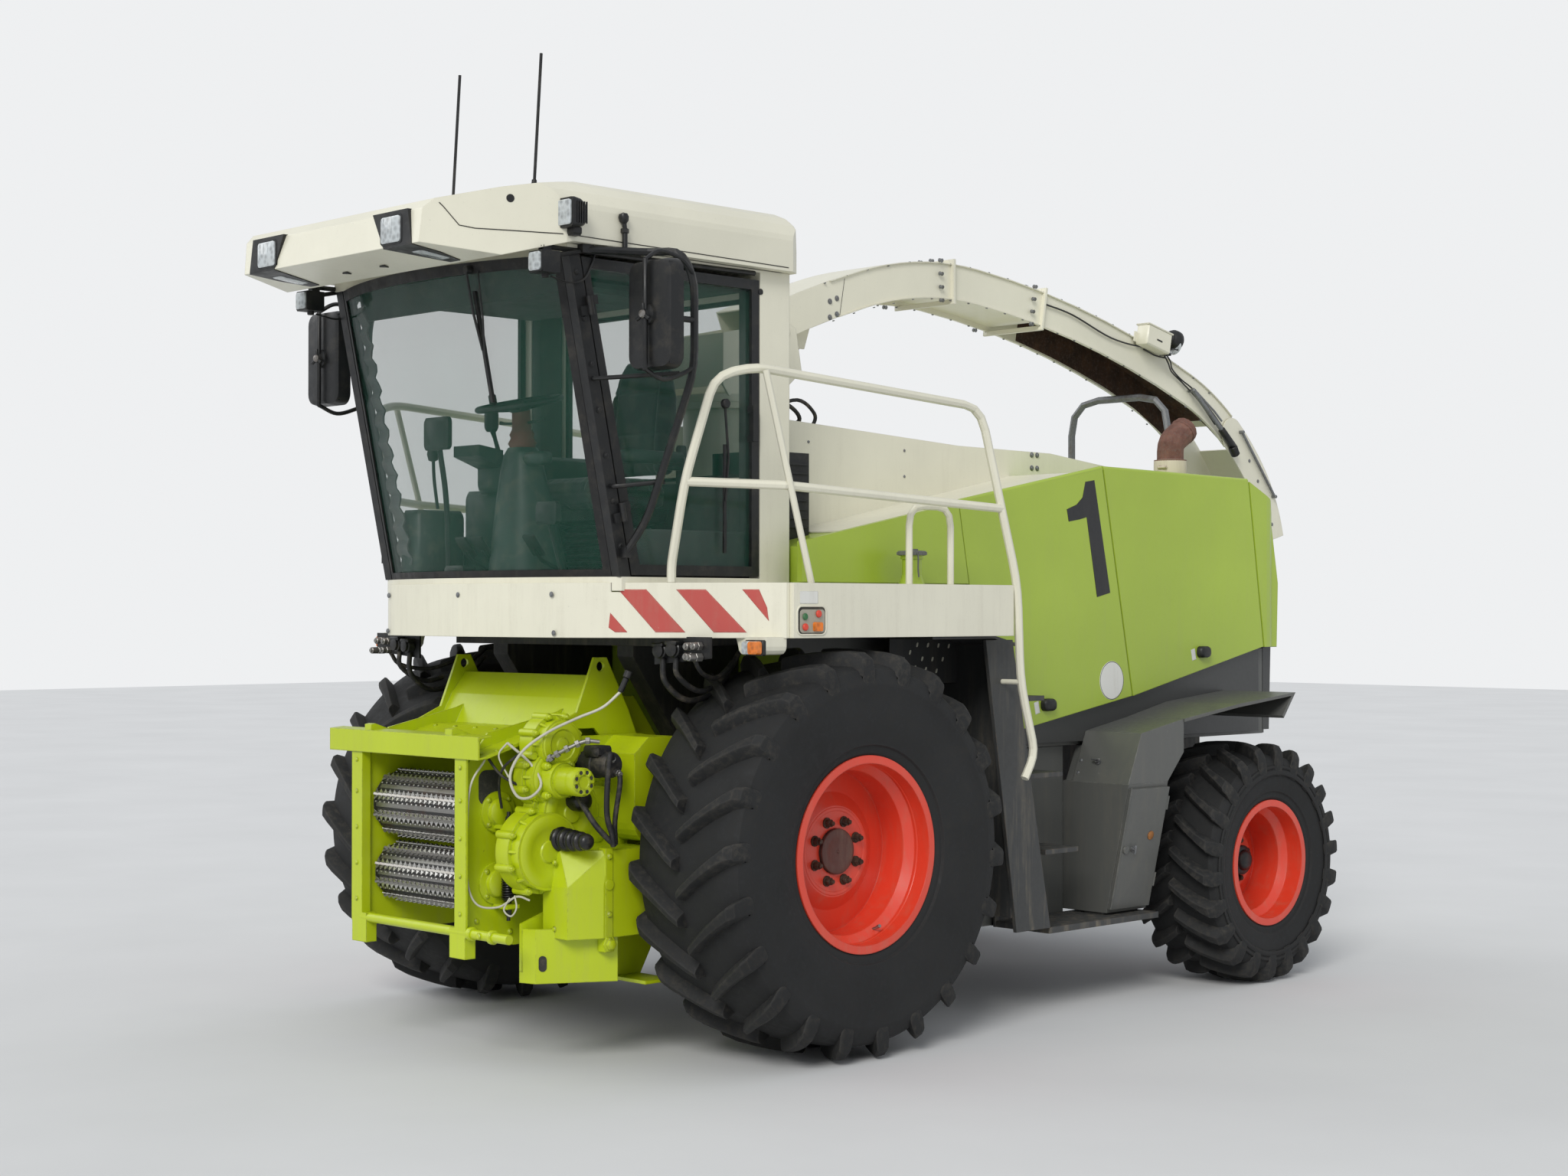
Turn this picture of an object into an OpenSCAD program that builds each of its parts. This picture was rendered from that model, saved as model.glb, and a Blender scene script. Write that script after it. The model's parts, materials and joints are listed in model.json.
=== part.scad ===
// Self-propelled forage harvester without its header.
// Built with the front axle over y = 0, the front towards -Y, the machine's left towards +X.
// seat_on_origin() then moves every piece so that the middle of the outline lies on the origin.

/* [Wheels and axles] */
// Distance between the axles
wheelbase = 3079; // [2900:1:3300]
// Overall diameter of a front tyre over its lugs
front_tyre_d = 1782; // [1700:2:1800]
// Width of a front tyre
front_tyre_w = 650; // [600:2:660]
// Distance of a front wheel's middle from the centre plane
front_track_half = 1165; // [1155:1:1180]
// Overall diameter of a rear tyre over its lugs
rear_tyre_d = 1252; // [1180:2:1270]
// Width of a rear tyre
rear_tyre_w = 490; // [460:2:500]
// Distance of a rear wheel's middle from the centre plane
rear_track_half = 1210; // [1200:1:1225]
// Height of a tyre lug
lug_h = 52; // [40:1:60]
// Bead seat diameter of the front rims
front_seat_d = 812; // [780:2:830]
// Bead seat diameter of the rear rims
rear_seat_d = 610; // [580:2:620]

/* [Cab] */
// Width of the cab over its pillars
cab_w = 1720; // [1680:2:1740]
// Height of the cab floor above the ground
cab_floor_z = 2090; // [2080:1:2100]
// Height of the cab opening, floor to roof
cab_h = 1385; // [1360:1:1400]
// Thickness of the cab's door and wall frames
cab_wall = 40; // [30:1:45]
// Thickness of the glass
glass_t = 6; // [5:0.5:8]

/* [Body] */
// Distance of the side panels' outer faces from the centre plane
panel_x = 1020; // [1000:1:1030]
// Thickness of a side panel
panel_t = 28; // [20:1:30]
// Outer edge of the walkways from the centre plane
walk_x = 1420; // [1400:1:1430]
// Height of the apron and walkway band
band_h = 235; // [200:1:240]
// Top of the apron and walkway band
band_top = 2065; // [2060:1:2070]

/* [Intake] */
// Width between the side plates of the intake
intake_w = 720; // [680:2:740]
// Diameter of the upper feed roller over its body
upper_roller_d = 276; // [260:2:290]
// Diameter of the lower feed roller over its body
lower_roller_d = 236; // [220:2:250]

/* [Discharge spout] */
// Width of the spout over its side plates
spout_w = 380; // [340:2:400]
// Depth of the spout
spout_depth = 190; // [170:1:200]
// Thickness of the spout's sheet
spout_sheet = 8; // [6:0.5:10]

/* [Hidden] */
$fn = 64;

gap = 0.3;              // seat between pieces of the same body
run = 0.05;             // radial play of a shaft in its bore
front_end = -1810;      // foremost point, the visor
pitches = 22;           // lugs round one side of a tyre
lug_half_deg = 0.15 * 360 / pitches;
front_r = front_tyre_d / 2;
rear_r = rear_tyre_d / 2;
front_axle_z = front_r * cos(lug_half_deg);
rear_axle_z = rear_r * cos(lug_half_deg);

module seat_on_origin() translate([0, -mid_y, 0]) children();

// Extrudes an outline drawn in (y, z) from x0 to x1
module along_x(x0, x1) translate([x0, 0, 0]) rotate([90, 0, 90]) linear_extrude(x1 - x0) children();

// Extrudes an outline drawn in (x, z) from y0 to y1
module along_y(y0, y1) translate([0, y1, 0]) rotate([90, 0, 0]) linear_extrude(y1 - y0) children();

// Block between two opposite corners
module block(a, b) translate(a) cube(b - a);

module both_sides() {
    children();
    mirror([1, 0, 0]) children();
}

// Cylinder from point p to point q
module rod(p, q, d) {
    v = q - p;
    translate(p) rotate([0, acos(v.z / norm(v)), atan2(v.y, v.x)]) cylinder(d = d, h = norm(v));
}

// Corner i of a path, replaced by a short round bend of radius about r
function bend(path, i, r) =
    let (p = path[i], a = path[i - 1] - p, b = path[i + 1] - p,
         t = min(r, norm(a) / 2.2, norm(b) / 2.2),
         s = p + a * t / norm(a), e = p + b * t / norm(b))
    [for (k = [0 : 3]) let (f = k / 3) s * (1 - f) * (1 - f) + p * 2 * f * (1 - f) + e * f * f];

function rounded_path(path, r) = [
    path[0],
    for (i = [1 : 1 : len(path) - 2]) each bend(path, i, r),
    path[len(path) - 1]
];

// Direction of a path at point i
function heading(path, i) =
    let (n = len(path) - 1, d = path[min(i + 1, n)] - path[max(i - 1, 0)]) d / norm(d);

// Round bar of diameter d along a path; up is roughly square to every stretch of it
module bar(path, d, up = [1, 0, 0], sides = 8) {
    n = len(path);
    points = [for (i = [0 : n - 1], k = [0 : sides - 1])
        let (t = heading(path, i), a0 = up - t * (up * t), a = a0 / norm(a0), b = cross(t, a))
        path[i] + (a * cos(360 * k / sides) + b * sin(360 * k / sides)) * d / 2];
    faces = concat(
        [[for (k = [0 : sides - 1]) k]],
        [[for (k = [sides - 1 : -1 : 0]) (n - 1) * sides + k]],
        [for (i = [0 : n - 2], k = [0 : sides - 1])
            let (k1 = (k + 1) % sides)
            [i * sides + k, (i + 1) * sides + k, (i + 1) * sides + k1, i * sides + k1]]);
    polyhedron(points, faces, convexity = 6);
}

// Points of a chain of arcs, each [radius, turn]; a positive turn bends downwards
function chain(p, dir, arcs, i = 0) =
    i >= len(arcs) ? [] :
    let (r = arcs[i][0], turn = arcs[i][1], steps = ceil(turn / 2.5),
         c = p + r * [sin(dir), -cos(dir)])
    concat(
        [for (k = [0 : steps - 1]) let (a = dir - turn * k / steps) [c + r * [-sin(a), cos(a)], a]],
        i == len(arcs) - 1
            ? [let (a = dir - turn) [c + r * [-sin(a), cos(a)], a]]
            : chain(c + r * [-sin(dir - turn), cos(dir - turn)], dir - turn, arcs, i + 1));

// Outline between two offsets of a chain
function ribbon(line, lo, hi) = concat(
    [for (q = line) q[0] + hi * [-sin(q[1]), cos(q[1])]],
    [for (i = [len(line) - 1 : -1 : 0]) line[i][0] + lo * [-sin(line[i][1]), cos(line[i][1])]]);

// Points of an arc about c from angle a0 to a1, in n steps
function arc(c, r, a0, a1, n) = [for (i = [0 : n]) let (a = a0 + (a1 - a0) * i / n) c + r * [cos(a), sin(a)]];

// Tyre: a ring with slanted lugs, lying along X.
// Each row across the tyre is [x, radius between lugs, radius on a left lug,
// radius on a right lug, share of the sweep]
function tyre_rows(r, w) = [
    [-w * 0.495, r - lug_h - 70, r - lug_h - 70, r - lug_h - 70, 0],
    [-w * 0.44, r - lug_h - 14, r - lug_h - 14, r - 8, 0.12],
    [-w * 0.05, r - lug_h, r - lug_h, r, 1],
    [w * 0.05, r - lug_h, r, r - lug_h, 1],
    [w * 0.44, r - lug_h - 14, r - 8, r - lug_h - 14, 0.12],
    [w * 0.495, r - lug_h - 70, r - lug_h - 70, r - lug_h - 70, 0]
];

module tyre(r, w, seat_r, bead_half, lead) {
    step = 360 / pitches;
    part = [0, 0.3, 0.5, 0.8];
    sweep = lead * 0.8 * step;
    phase = 270 - 0.15 * step - sweep;
    rows = tyre_rows(r, w);
    cols = 4 * pitches;
    half = 2 * pitches;
    lug_points = [for (row = rows, k = [0 : cols - 1])
        let (c = k % 4, a = phase + (floor(k / 4) + part[c]) * step + sweep * row[4],
             rr = c < 2 ? row[2] : row[3])
        [row[0], rr * cos(a), rr * sin(a)]];
    // Side rows, each [x, radius]: bulge and bead of the left, then of the right
    sides = [[-w / 2, (r + seat_r) / 2 - 20], [-bead_half, seat_r],
             [w / 2, (r + seat_r) / 2 - 20], [bead_half, seat_r]];
    side_points = [for (s = sides, k = [0 : half - 1])
        let (a = phase + (floor(k / 2) + part[2 * (k % 2)]) * step) [s[0], s[1] * cos(a), s[1] * sin(a)]];
    base = len(lug_points);
    function lug_i(j, k) = j * cols + (k + cols) % cols;
    function side_i(j, k) = base + j * half + (k + half) % half;
    lug_faces = [for (j = [0 : len(rows) - 2], k = [0 : cols - 1])
        each [[lug_i(j, k), lug_i(j, k + 1), lug_i(j + 1, k)],
              [lug_i(j, k + 1), lug_i(j + 1, k + 1), lug_i(j + 1, k)]]];
    last = len(rows) - 1;
    left_faces = [for (k = [0 : half - 1])
        each [[side_i(0, k), side_i(0, k + 1), lug_i(0, 2 * k + 1)],
              [side_i(0, k), lug_i(0, 2 * k + 1), lug_i(0, 2 * k)],
              [side_i(0, k + 1), lug_i(0, 2 * k + 2), lug_i(0, 2 * k + 1)],
              [side_i(1, k), side_i(1, k + 1), side_i(0, k + 1)],
              [side_i(1, k), side_i(0, k + 1), side_i(0, k)]]];
    right_faces = [for (k = [0 : half - 1])
        each [[side_i(2, k + 1), side_i(2, k), lug_i(last, 2 * k + 1)],
              [side_i(2, k), lug_i(last, 2 * k), lug_i(last, 2 * k + 1)],
              [side_i(2, k + 1), lug_i(last, 2 * k + 1), lug_i(last, 2 * k + 2)],
              [side_i(3, k + 1), side_i(3, k), side_i(2, k + 1)],
              [side_i(3, k), side_i(2, k), side_i(2, k + 1)]]];
    seat_faces = [for (k = [0 : half - 1])
        each [[side_i(1, k + 1), side_i(1, k), side_i(3, k)],
              [side_i(1, k + 1), side_i(3, k), side_i(3, k + 1)]]];
    polyhedron(concat(lug_points, side_points),
               concat(lug_faces, left_faces, right_faces, seat_faces), convexity = 10);
}

rim_sheet = 12;
front_rim_half = 275;   // middle of the rim to its outer flange face
rear_rim_half = 210;
front_disc_x = 75;      // outer face of the disc from the rim's middle
rear_disc_x = -20;
front_hub_r = 100;
rear_hub_r = 75;
well_drop = 34;

// Rim with its axis along X, outer side towards +X
module rim(seat_r, half, disc_x, hub_r) {
    t = rim_sheet;
    well_r = seat_r - well_drop;
    flange_r = seat_r + 24;
    rotate([0, 90, 0]) rotate_extrude($fn = 96) {
        polygon([[flange_r, -half], [flange_r, -half + t], [seat_r, -half + t], [seat_r, -half + 90],
                 [well_r, -half + 125], [well_r, half - 125], [seat_r, half - 90],
                 [seat_r, half - t], [flange_r, half - t], [flange_r, half], [seat_r - t, half],
                 [seat_r - t, half - 90], [well_r - t, half - 125], [well_r - t, -half + 125],
                 [seat_r - t, -half + 90], [seat_r - t, -half]]);
        polygon([[hub_r + run, disc_x - 16], [hub_r + run, disc_x], [2 * hub_r, disc_x],
                 [2 * hub_r + 60, disc_x - 35], [well_r - t + 2, disc_x - 55],
                 [well_r - t + 2, disc_x - 71], [2 * hub_r + 56, disc_x - 51],
                 [2 * hub_r - 6, disc_x - 16]]);
    }
}

// A wheel's pieces at their places; side is 1 on the left and -1 on the right
module at_wheel(side, x, y, z) mirror([side > 0 ? 0 : 1, 0, 0]) translate([x, y, z]) children();

module front_rim(side) color([0.86, 0.28, 0.2])
    at_wheel(side, front_track_half, 0, front_axle_z)
        rim(front_seat_d / 2, front_rim_half, front_disc_x, front_hub_r);

module rear_rim(side) color([0.86, 0.28, 0.2])
    at_wheel(side, rear_track_half, wheelbase, rear_axle_z)
        rim(rear_seat_d / 2, rear_rim_half, rear_disc_x, rear_hub_r);

// Inner radius that keeps a tyre's flats outside the round bead seat
function tyre_seat(seat_d) = (seat_d / 2 + gap) / cos(180 * 0.5 / pitches * 1.02);

module front_tyre(side) color([0.13, 0.13, 0.13])
    at_wheel(side, front_track_half, 0, front_axle_z)
        tyre(front_r, front_tyre_w, tyre_seat(front_seat_d), front_rim_half - rim_sheet - 12, 1);

module rear_tyre(side) color([0.13, 0.13, 0.13])
    at_wheel(side, rear_track_half, wheelbase, rear_axle_z)
        tyre(rear_r, rear_tyre_w, tyre_seat(rear_seat_d), rear_rim_half - rim_sheet - 12, -1);

beam_h = 240;
front_beam_top = front_axle_z + beam_h / 2;
drive_r = 225;
kingpin_x = 980;
kingpin_d = 60;
boss_h = 160;

lift_x = 250;                 // lift cylinders from the centre plane
lift_base = [150, 690];       // [y, z] of their lower pivots on the axle
lift_eye = [-620, 560];       // [y, z] of their rod eyes on the intake
lift_pin_d = 40;
eye_slack = 6;                // radial room of a rod's eye on its pin

module front_axle() color([0.2, 0.2, 0.2]) {
    disc_back = front_track_half + front_disc_x - 71;
    block([-720, -125, front_axle_z - beam_h / 2], [720, 125, front_beam_top]);
    both_sides() {
        rod([700, 0, front_axle_z], [disc_back - 30, 0, front_axle_z], 2 * drive_r);
        rod([disc_back - 40, 0, front_axle_z],
            [front_track_half + front_disc_x - 22, 0, front_axle_z], 3 * front_hub_r);
        rod([disc_back, 0, front_axle_z],
            [front_track_half + front_disc_x + 12, 0, front_axle_z], 2 * front_hub_r);
        for (x = [lift_x - 58, lift_x + 46])
            along_x(x, x + 12) polygon([[60, front_axle_z - beam_h / 2 + 5], [110, 640], [190, 640],
                                        [190, 740], [125, front_axle_z - beam_h / 2 + 60]]);
        rod([lift_x - 50, lift_base[0], lift_base[1]], [lift_x + 50, lift_base[0], lift_base[1]], lift_pin_d);
    }
}

module rear_axle() color([0.2, 0.2, 0.2]) difference() {
    union() {
        block([-760, wheelbase - 90, rear_axle_z - 60], [760, wheelbase + 90, rear_axle_z + 90]);
        block([-kingpin_x, wheelbase - 45, rear_axle_z - 60],
              [kingpin_x, wheelbase + 45, rear_axle_z + 60]);
        both_sides() translate([kingpin_x, wheelbase, rear_axle_z - boss_h / 2])
            cylinder(d = 2 * kingpin_d, h = boss_h);
        block([-110, wheelbase - 110, rear_axle_z + 50], [110, wheelbase + 110, frame_bottom]);
    }
    both_sides() translate([kingpin_x, wheelbase, rear_axle_z - boss_h])
        cylinder(d = kingpin_d + 2 * run, h = 2 * boss_h);
}

// Steered knuckle: fork and kingpin round the axle's boss, hub plate and spindle
module knuckle(side) color([0.16, 0.16, 0.16])
    mirror([side > 0 ? 0 : 1, 0, 0]) translate([kingpin_x, wheelbase, rear_axle_z]) {
        plate = 34;
        hub_x = rear_track_half + rear_disc_x - 71 - kingpin_x;
        for (s = [-1, 1]) translate([0, 0, s * (boss_h / 2 + gap + plate / 2)]) {
            cylinder(d = 2 * kingpin_d, h = plate, center = true);
            translate([hub_x / 2, 0, 0]) cube([hub_x, 110, plate], center = true);
        }
        cylinder(d = kingpin_d, h = boss_h + 2 * plate, center = true);
        translate([hub_x, 0, 0]) rotate([0, 90, 0])
            translate([0, 0, -30]) cylinder(r = boss_h / 2 + plate, h = 30);
        rod([hub_x - 5, 0, 0], [hub_x + 71 + 60, 0, 0], 2 * rear_hub_r);
    }

frame_bottom = 1020;
frame_top = 1265;
rail_x = 400;
rail_w = 110;

intake_pivot = [-300, 1000];  // [y, z] of the axis on which the intake is lifted
trunnion_d = 90;

module chassis_frame() color([0.2, 0.21, 0.21]) {
    both_sides() {
        block([rail_x, -240, front_beam_top + gap], [rail_x + rail_w, 3720, frame_top]);
        along_x(rail_x, rail_x + rail_w)
            polygon([[-200, frame_top - 1], [100, frame_top - 1], [100, 1790], [-540, 1790], [-540, 1740]]);
        along_x(rail_x - 18, rail_x + 1) polygon([[-370, 960], [-300, 920], [-230, 960], [-140, 1020],
                                                  [-140, frame_top], [-240, frame_top], [-370, 1060]]);
    }
    rod([-rail_x, intake_pivot[0], intake_pivot[1]], [rail_x, intake_pivot[0], intake_pivot[1]], trunnion_d);
    // Casing of the chopping drum
    rod([-intake_x + 12, intake_pivot[0], intake_pivot[1]], [intake_x - 12, intake_pivot[0], intake_pivot[1]], 340);
    for (y = [330, 1500, 2300, 3640])
        block([-rail_x - 1, y, 1060], [rail_x + 1, y + 80, frame_top - 10]);
    block([-130, 2940, frame_bottom + gap], [130, 3220, 1100]);
    block([-rail_x - 1, 2950, 1060], [rail_x + 1, 3210, frame_top - 10]);
    block([-780, -560, 1789], [780, 110, 1828]);
    for (x = [-780, -60, 660]) block([x, -540, 1827], [x + 120, 60, cab_floor_z - 60 - gap]);
}

module engine_block() color([0.35, 0.36, 0.34])
    block([-560, 2400, floor_top + gap], [560, 3150, 2150]);

floor_top = frame_top + 20;

intake_x = intake_w / 2;
intake_front = -1360;
channel_y = -1403;            // face of the channel across the intake's front

// Side plates, top deck, front channel, posts and cross tube of the feed housing
module intake_housing() color([0.72, 0.78, 0.1]) {
    both_sides() {
        difference() {
            along_x(intake_x, intake_x + 12)
                polygon([[-1350, 560], [-1350, 1290], [-1240, 1420], [-860, 1500], [-700, 1560],
                         [-420, 1560], [-230, 1300], [-230, 900], [-300, 700], [-500, 520], [-1100, 500]]);
            rod([intake_x - 5, upper_y, upper_z], [intake_x + 20, upper_y, upper_z], roller_shaft_d + 2 * run);
            rod([intake_x - 5, lower_y, lower_z], [intake_x + 20, lower_y, lower_z], roller_shaft_d + 2 * run);
            rod([intake_x - 5, intake_pivot[0], intake_pivot[1]],
                [intake_x + 20, intake_pivot[0], intake_pivot[1]], trunnion_d + 2 * run);
        }
        for (x = [lift_x - 40, lift_x + 28]) along_x(x, x + 12)
            polygon([[-700, 500], [-560, 500], [-560, 620], [-640, 720], [-700, 720]]);
        rod([lift_x - 35, lift_eye[0], lift_eye[1]], [lift_x + 35, lift_eye[0], lift_eye[1]], lift_pin_d);
        block([lift_x - 40, -720, 640], [intake_x + 1, -700, 720]);
        for (z = [670, 1010 + gap]) block([intake_x + 11, -1215, z], [475, -1145, z + 20 - gap]);
        difference() {
            along_x(490, 505)
                polygon([[-1020, 1430], [-860, 1500], [-760, 1740], [-690, 1740], [-560, 1500],
                         [-420, 1180], [-520, 1180], [-760, 1430]]);
            rod([480, -725, 1700], [520, -725, 1700], 44);
        }
        block([intake_x, -700, 1230], [500, -560, 1260]);
        // Post of angle section and the foot under it
        block([345, intake_front - 35, 560], [425, intake_front - 23, 1330]);
        block([345, intake_front - 35, 560], [357, intake_front + 11, 1330]);
        block([intake_x - 1, intake_front, 560], [358, intake_front + 11, 1290]);
        block([310, intake_front - 35, 470], [420, intake_front + 20, 600]);
    }
    // Channel across the front, open to the rear
    along_x(-590, 520) polygon([
        [channel_y, 1316], [channel_y, 1414], [channel_y + 70, 1420], [channel_y + 70, 1411],
        [channel_y + 9, 1404], [channel_y + 9, 1326], [channel_y + 45, 1331], [channel_y + 45, 1322]]);
    // Bearing cap of the lower roller on the far side
    difference() {
        rod([-intake_x - 44, lower_y, lower_z], [-intake_x - 11, lower_y, lower_z], 240);
        rod([-intake_x - 36, lower_y, lower_z], [-intake_x - 10, lower_y, lower_z], 190);
    }
    // Deck behind the front channel, rising to the rear
    along_x(-500, 500) polygon([[-1350, 1330], [-1000, 1430], [-870, 1430], [-800, 1560],
                                [-720, 1660], [-700, 1650], [-780, 1545], [-860, 1410],
                                [-1000, 1415], [-1350, 1316]]);
    for (x = [-300, 300]) along_x(x - 25, x + 25)
        polygon([[channel_y + 8, 1318], [channel_y + 8, 1440], [channel_y + 30, 1444], [-1180, 1376],
                 [-1180, 1340]]);
    rod([-360, intake_front - 15, 580], [700, intake_front - 15, 580], 42);
}

upper_y = -1190;
upper_z = 1080;
lower_y = -1200;
lower_z = 775;
roller_shaft_d = 60;
teeth = 20;                   // on a bar of a feed roller
tooth_h = 20;                 // tips of the teeth above the drum

// Feed roller with toothed bars round a plain drum
module roller(y, z, d, bars) {
    len_half = intake_x - 6;
    pitch = 2 * len_half / teeth;
    rod([-intake_x - 30, y, z], [intake_x + 30, y, z], roller_shaft_d);
    rod([-len_half, y, z], [len_half, y, z], d);
    for (k = [0 : bars - 1]) translate([-len_half, y, z]) rotate([k * 360 / bars, 0, 0])
        translate([0, 5, 0]) rotate([90, 0, 0]) linear_extrude(10)
            polygon(concat([[0, d / 2 - 8]],
                [for (i = [0 : teeth - 1]) each [[i * pitch, d / 2 + 6], [(i + 0.5) * pitch, d / 2 + tooth_h]]],
                [[2 * len_half, d / 2 + 6], [2 * len_half, d / 2 - 8]]));
}

module upper_roller() color([0.7, 0.7, 0.7]) roller(upper_y, upper_z, upper_roller_d, 10);
module lower_roller() color([0.7, 0.7, 0.7]) roller(lower_y, lower_z, lower_roller_d, 10);

// Gear casings, hydraulic motor, box guard and lower plate on the intake's left side
module intake_drive() color([0.72, 0.78, 0.1]) {
    x0 = 520;
    // Round gear casings, each [y, z, radius, x of the outer face]
    casings = [[-1060, 1374, 108, 655], [-1080, 1235, 120, 630], [-1000, 1080, 150, 645],
               [-1130, 925, 165, 655], [-860, 1000, 190, 640]];
    flange = 18;
    for (c = casings) {
        rod([x0, c[0], c[1]], [c[3], c[0], c[1]], 2 * c[2]);
        rod([x0, c[0], c[1]], [c[3] - 50, c[0], c[1]], 2 * (c[2] + flange));
        // Bolt lugs round the flange
        for (a = [20 : 45 : 340]) let (r = c[2] + flange, y = c[0] + r * cos(a), z = c[1] + r * sin(a))
            rod([x0, y, z], [c[3] - 40, y, z], 34);
    }
    // Hydraulic motor with a ribbed end, and the drive shaft's boot below it
    rod([620, -1088, 1226], [830, -1088, 1226], 120);
    rod([630, -1088, 1226], [700, -1088, 1226], 150);
    for (i = [0 : 3]) rod([650 + i * 44, -1078, 976], [676 + i * 44, -1078, 976], 96 - 8 * i);
    rod([640, -1078, 976], [820, -1078, 976], 56);
    rod([640, -925, 1290], [825, -925, 1290], 104);
    block([x0 - 3, -1150, 800], [x0 + 40, -520, 1400]);
    // Box guard: a canted front corner whose top is cut back
    along_z(560, 780) polygon(guard_plan(0));
    hull() {
        along_z(779, 780) polygon(guard_plan(0));
        along_z(929, 930) polygon(guard_plan(1));
    }
    block([780, -965, 500], [830, -925, 940]);
    // Bent plate below the guard
    along_z(370, 600) polygon([[560, -1215], [640, -1190], [815, -885], [800, -876], [628, -1174], [560, -1197]]);
    along_x(560, 576) polygon([[-1215, 420], [-1160, 370], [-560, 330], [-480, 470], [-480, 850], [-1215, 620]]);
    block([560, -700, 330], [780, -560, 346]);
    // Drive cover with rounded corners
    along_x(x0 + 20, 800) polygon(concat([[-780, 1330]], arc([-700, 1030], 80, 180, 260, 4),
        arc([-560, 1010], 80, 290, 360, 3), [[-480, 1320], [-560, 1400], [-700, 1400]]));
    block([505 + gap, -560, 1190], [x0 + 60, -470, 1330]);
}

// Plan of the box guard; the top is narrower by cut times 90 mm at its outer front corner
function guard_plan(cut) = [[600, -1120 + 30 * cut], [765 - 90 * cut, -1120 + 30 * cut],
                            [828, -975 + 30 * cut], [828, -690], [600, -690]];

module along_z(z0, z1) translate([0, 0, z0]) linear_extrude(z1 - z0) children();

module intake_springs() color([0.1, 0.1, 0.1])
    for (s = [-1, 1]) translate([s * 440, -1180, 690]) rotate_extrude($fn = 24)
        polygon(concat([[0, 0]],
            [for (i = [0 : 15]) each [[32, i * 20], [26, i * 20 + 10]]], [[32, 320], [0, 320]]));

cab_x = cab_w / 2;
pillar_front = [-916, -1206];      // y of the front pillar at the floor and at the roof
cab_rear = 90;
cab_top = cab_floor_z + cab_h;
lean = atan((pillar_front[0] - pillar_front[1]) / cab_h);

// How far the bowed windscreen stands ahead of its ends at distance x from the centre plane
function bow(x) = sqrt(screen_r * screen_r - x * x) - sqrt(screen_r * screen_r - cab_x * cab_x);

module cab_plan(grow) polygon(concat(
    [for (i = [-8 : 8]) let (x = i / 8 * (cab_x + grow)) [x, pillar_front[0] + 12 - grow - bow(min(abs(x), cab_x))]],
    [[cab_x + grow, cab_rear + grow], [-cab_x - grow, cab_rear + grow]]));

module cab_frame() color([0.9, 0.89, 0.82]) {
    along_z(cab_floor_z - 60, cab_floor_z) cab_plan(0);
    both_sides() block([cab_x - 70, -95, cab_floor_z - 1], [cab_x, cab_rear, cab_top]);
    difference() {
        block([-cab_x + 70, cab_rear - cab_wall, cab_floor_z - 1], [cab_x - 70, cab_rear, cab_top]);
        block([-cab_x + 150, cab_rear - 60, 2560], [cab_x - 150, cab_rear + 10, cab_top - 90]);
    }
    block([-cab_x, pillar_front[1], cab_top - 40], [cab_x, pillar_front[1] + pillar_w, cab_top]);
    block([-cab_x, cab_rear - 180, cab_top - 40], [cab_x, cab_rear, cab_top]);
    block([-cab_x, pillar_front[1] + pillar_w - 10, cab_top - 12], [cab_x, cab_rear - 100, cab_top]);
}

pillar_w = 60;                // front pillar from front to back
hinge_heights = [240, 1120];  // door hinges above the cab floor, along the pillar
hinge_out = 14;               // hinge line outside the door's outer face
knuckle_d = 28;
knuckle_h = 40;
hinge_pin_d = 14;

// Front edge of a front pillar at height z
function pillar_y(z) =
    pillar_front[0] + (pillar_front[1] - pillar_front[0]) * (z - cab_floor_z) / cab_h;

// Place on the door's hinge line at distance h above the cab floor
module on_hinge_line(h) translate([cab_x + hinge_out, pillar_front[0] + pillar_w + door_gap / 2, cab_floor_z])
    rotate([lean, 0, 0]) translate([0, 0, h]) children();

// One leaf of a door hinge with its knuckle; dir is -1 for the pillar's and 1 for the door's
module hinge_leaf(dir) {
    cylinder(d = knuckle_d, h = knuckle_h - gap);
    translate([-hinge_out - 2, dir > 0 ? 8 : -48, 0]) cube([10, 40, knuckle_h - gap]);
    translate([-hinge_out + 2, dir > 0 ? 0 : -48, 0]) cube([hinge_out - 4, 48, knuckle_h - gap]);
}

module front_pillars() color([0.1, 0.1, 0.1]) {
    z0 = cab_floor_z + gap;
    z1 = cab_top - 40 - gap;
    both_sides() along_x(cab_x - 50, cab_x) polygon([[pillar_y(z0), z0], [pillar_y(z0) + pillar_w, z0],
                                                     [pillar_y(z1) + pillar_w, z1], [pillar_y(z1), z1]]);
    for (h = hinge_heights) on_hinge_line(h) {
        hinge_leaf(-1);
        cylinder(d = hinge_pin_d, h = 2 * knuckle_h);
    }
}

roof_top = cab_top + 325;

lamp_side = [930, -1230, cab_top + 110];   // middle of a side lamp on the roof
lamp_size = [110, 90, 120];
lamp_front = [470, -1779, cab_top + 25];  // middle of a lamp in the visor
visor_lamp = [150, 60, 96];

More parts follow.
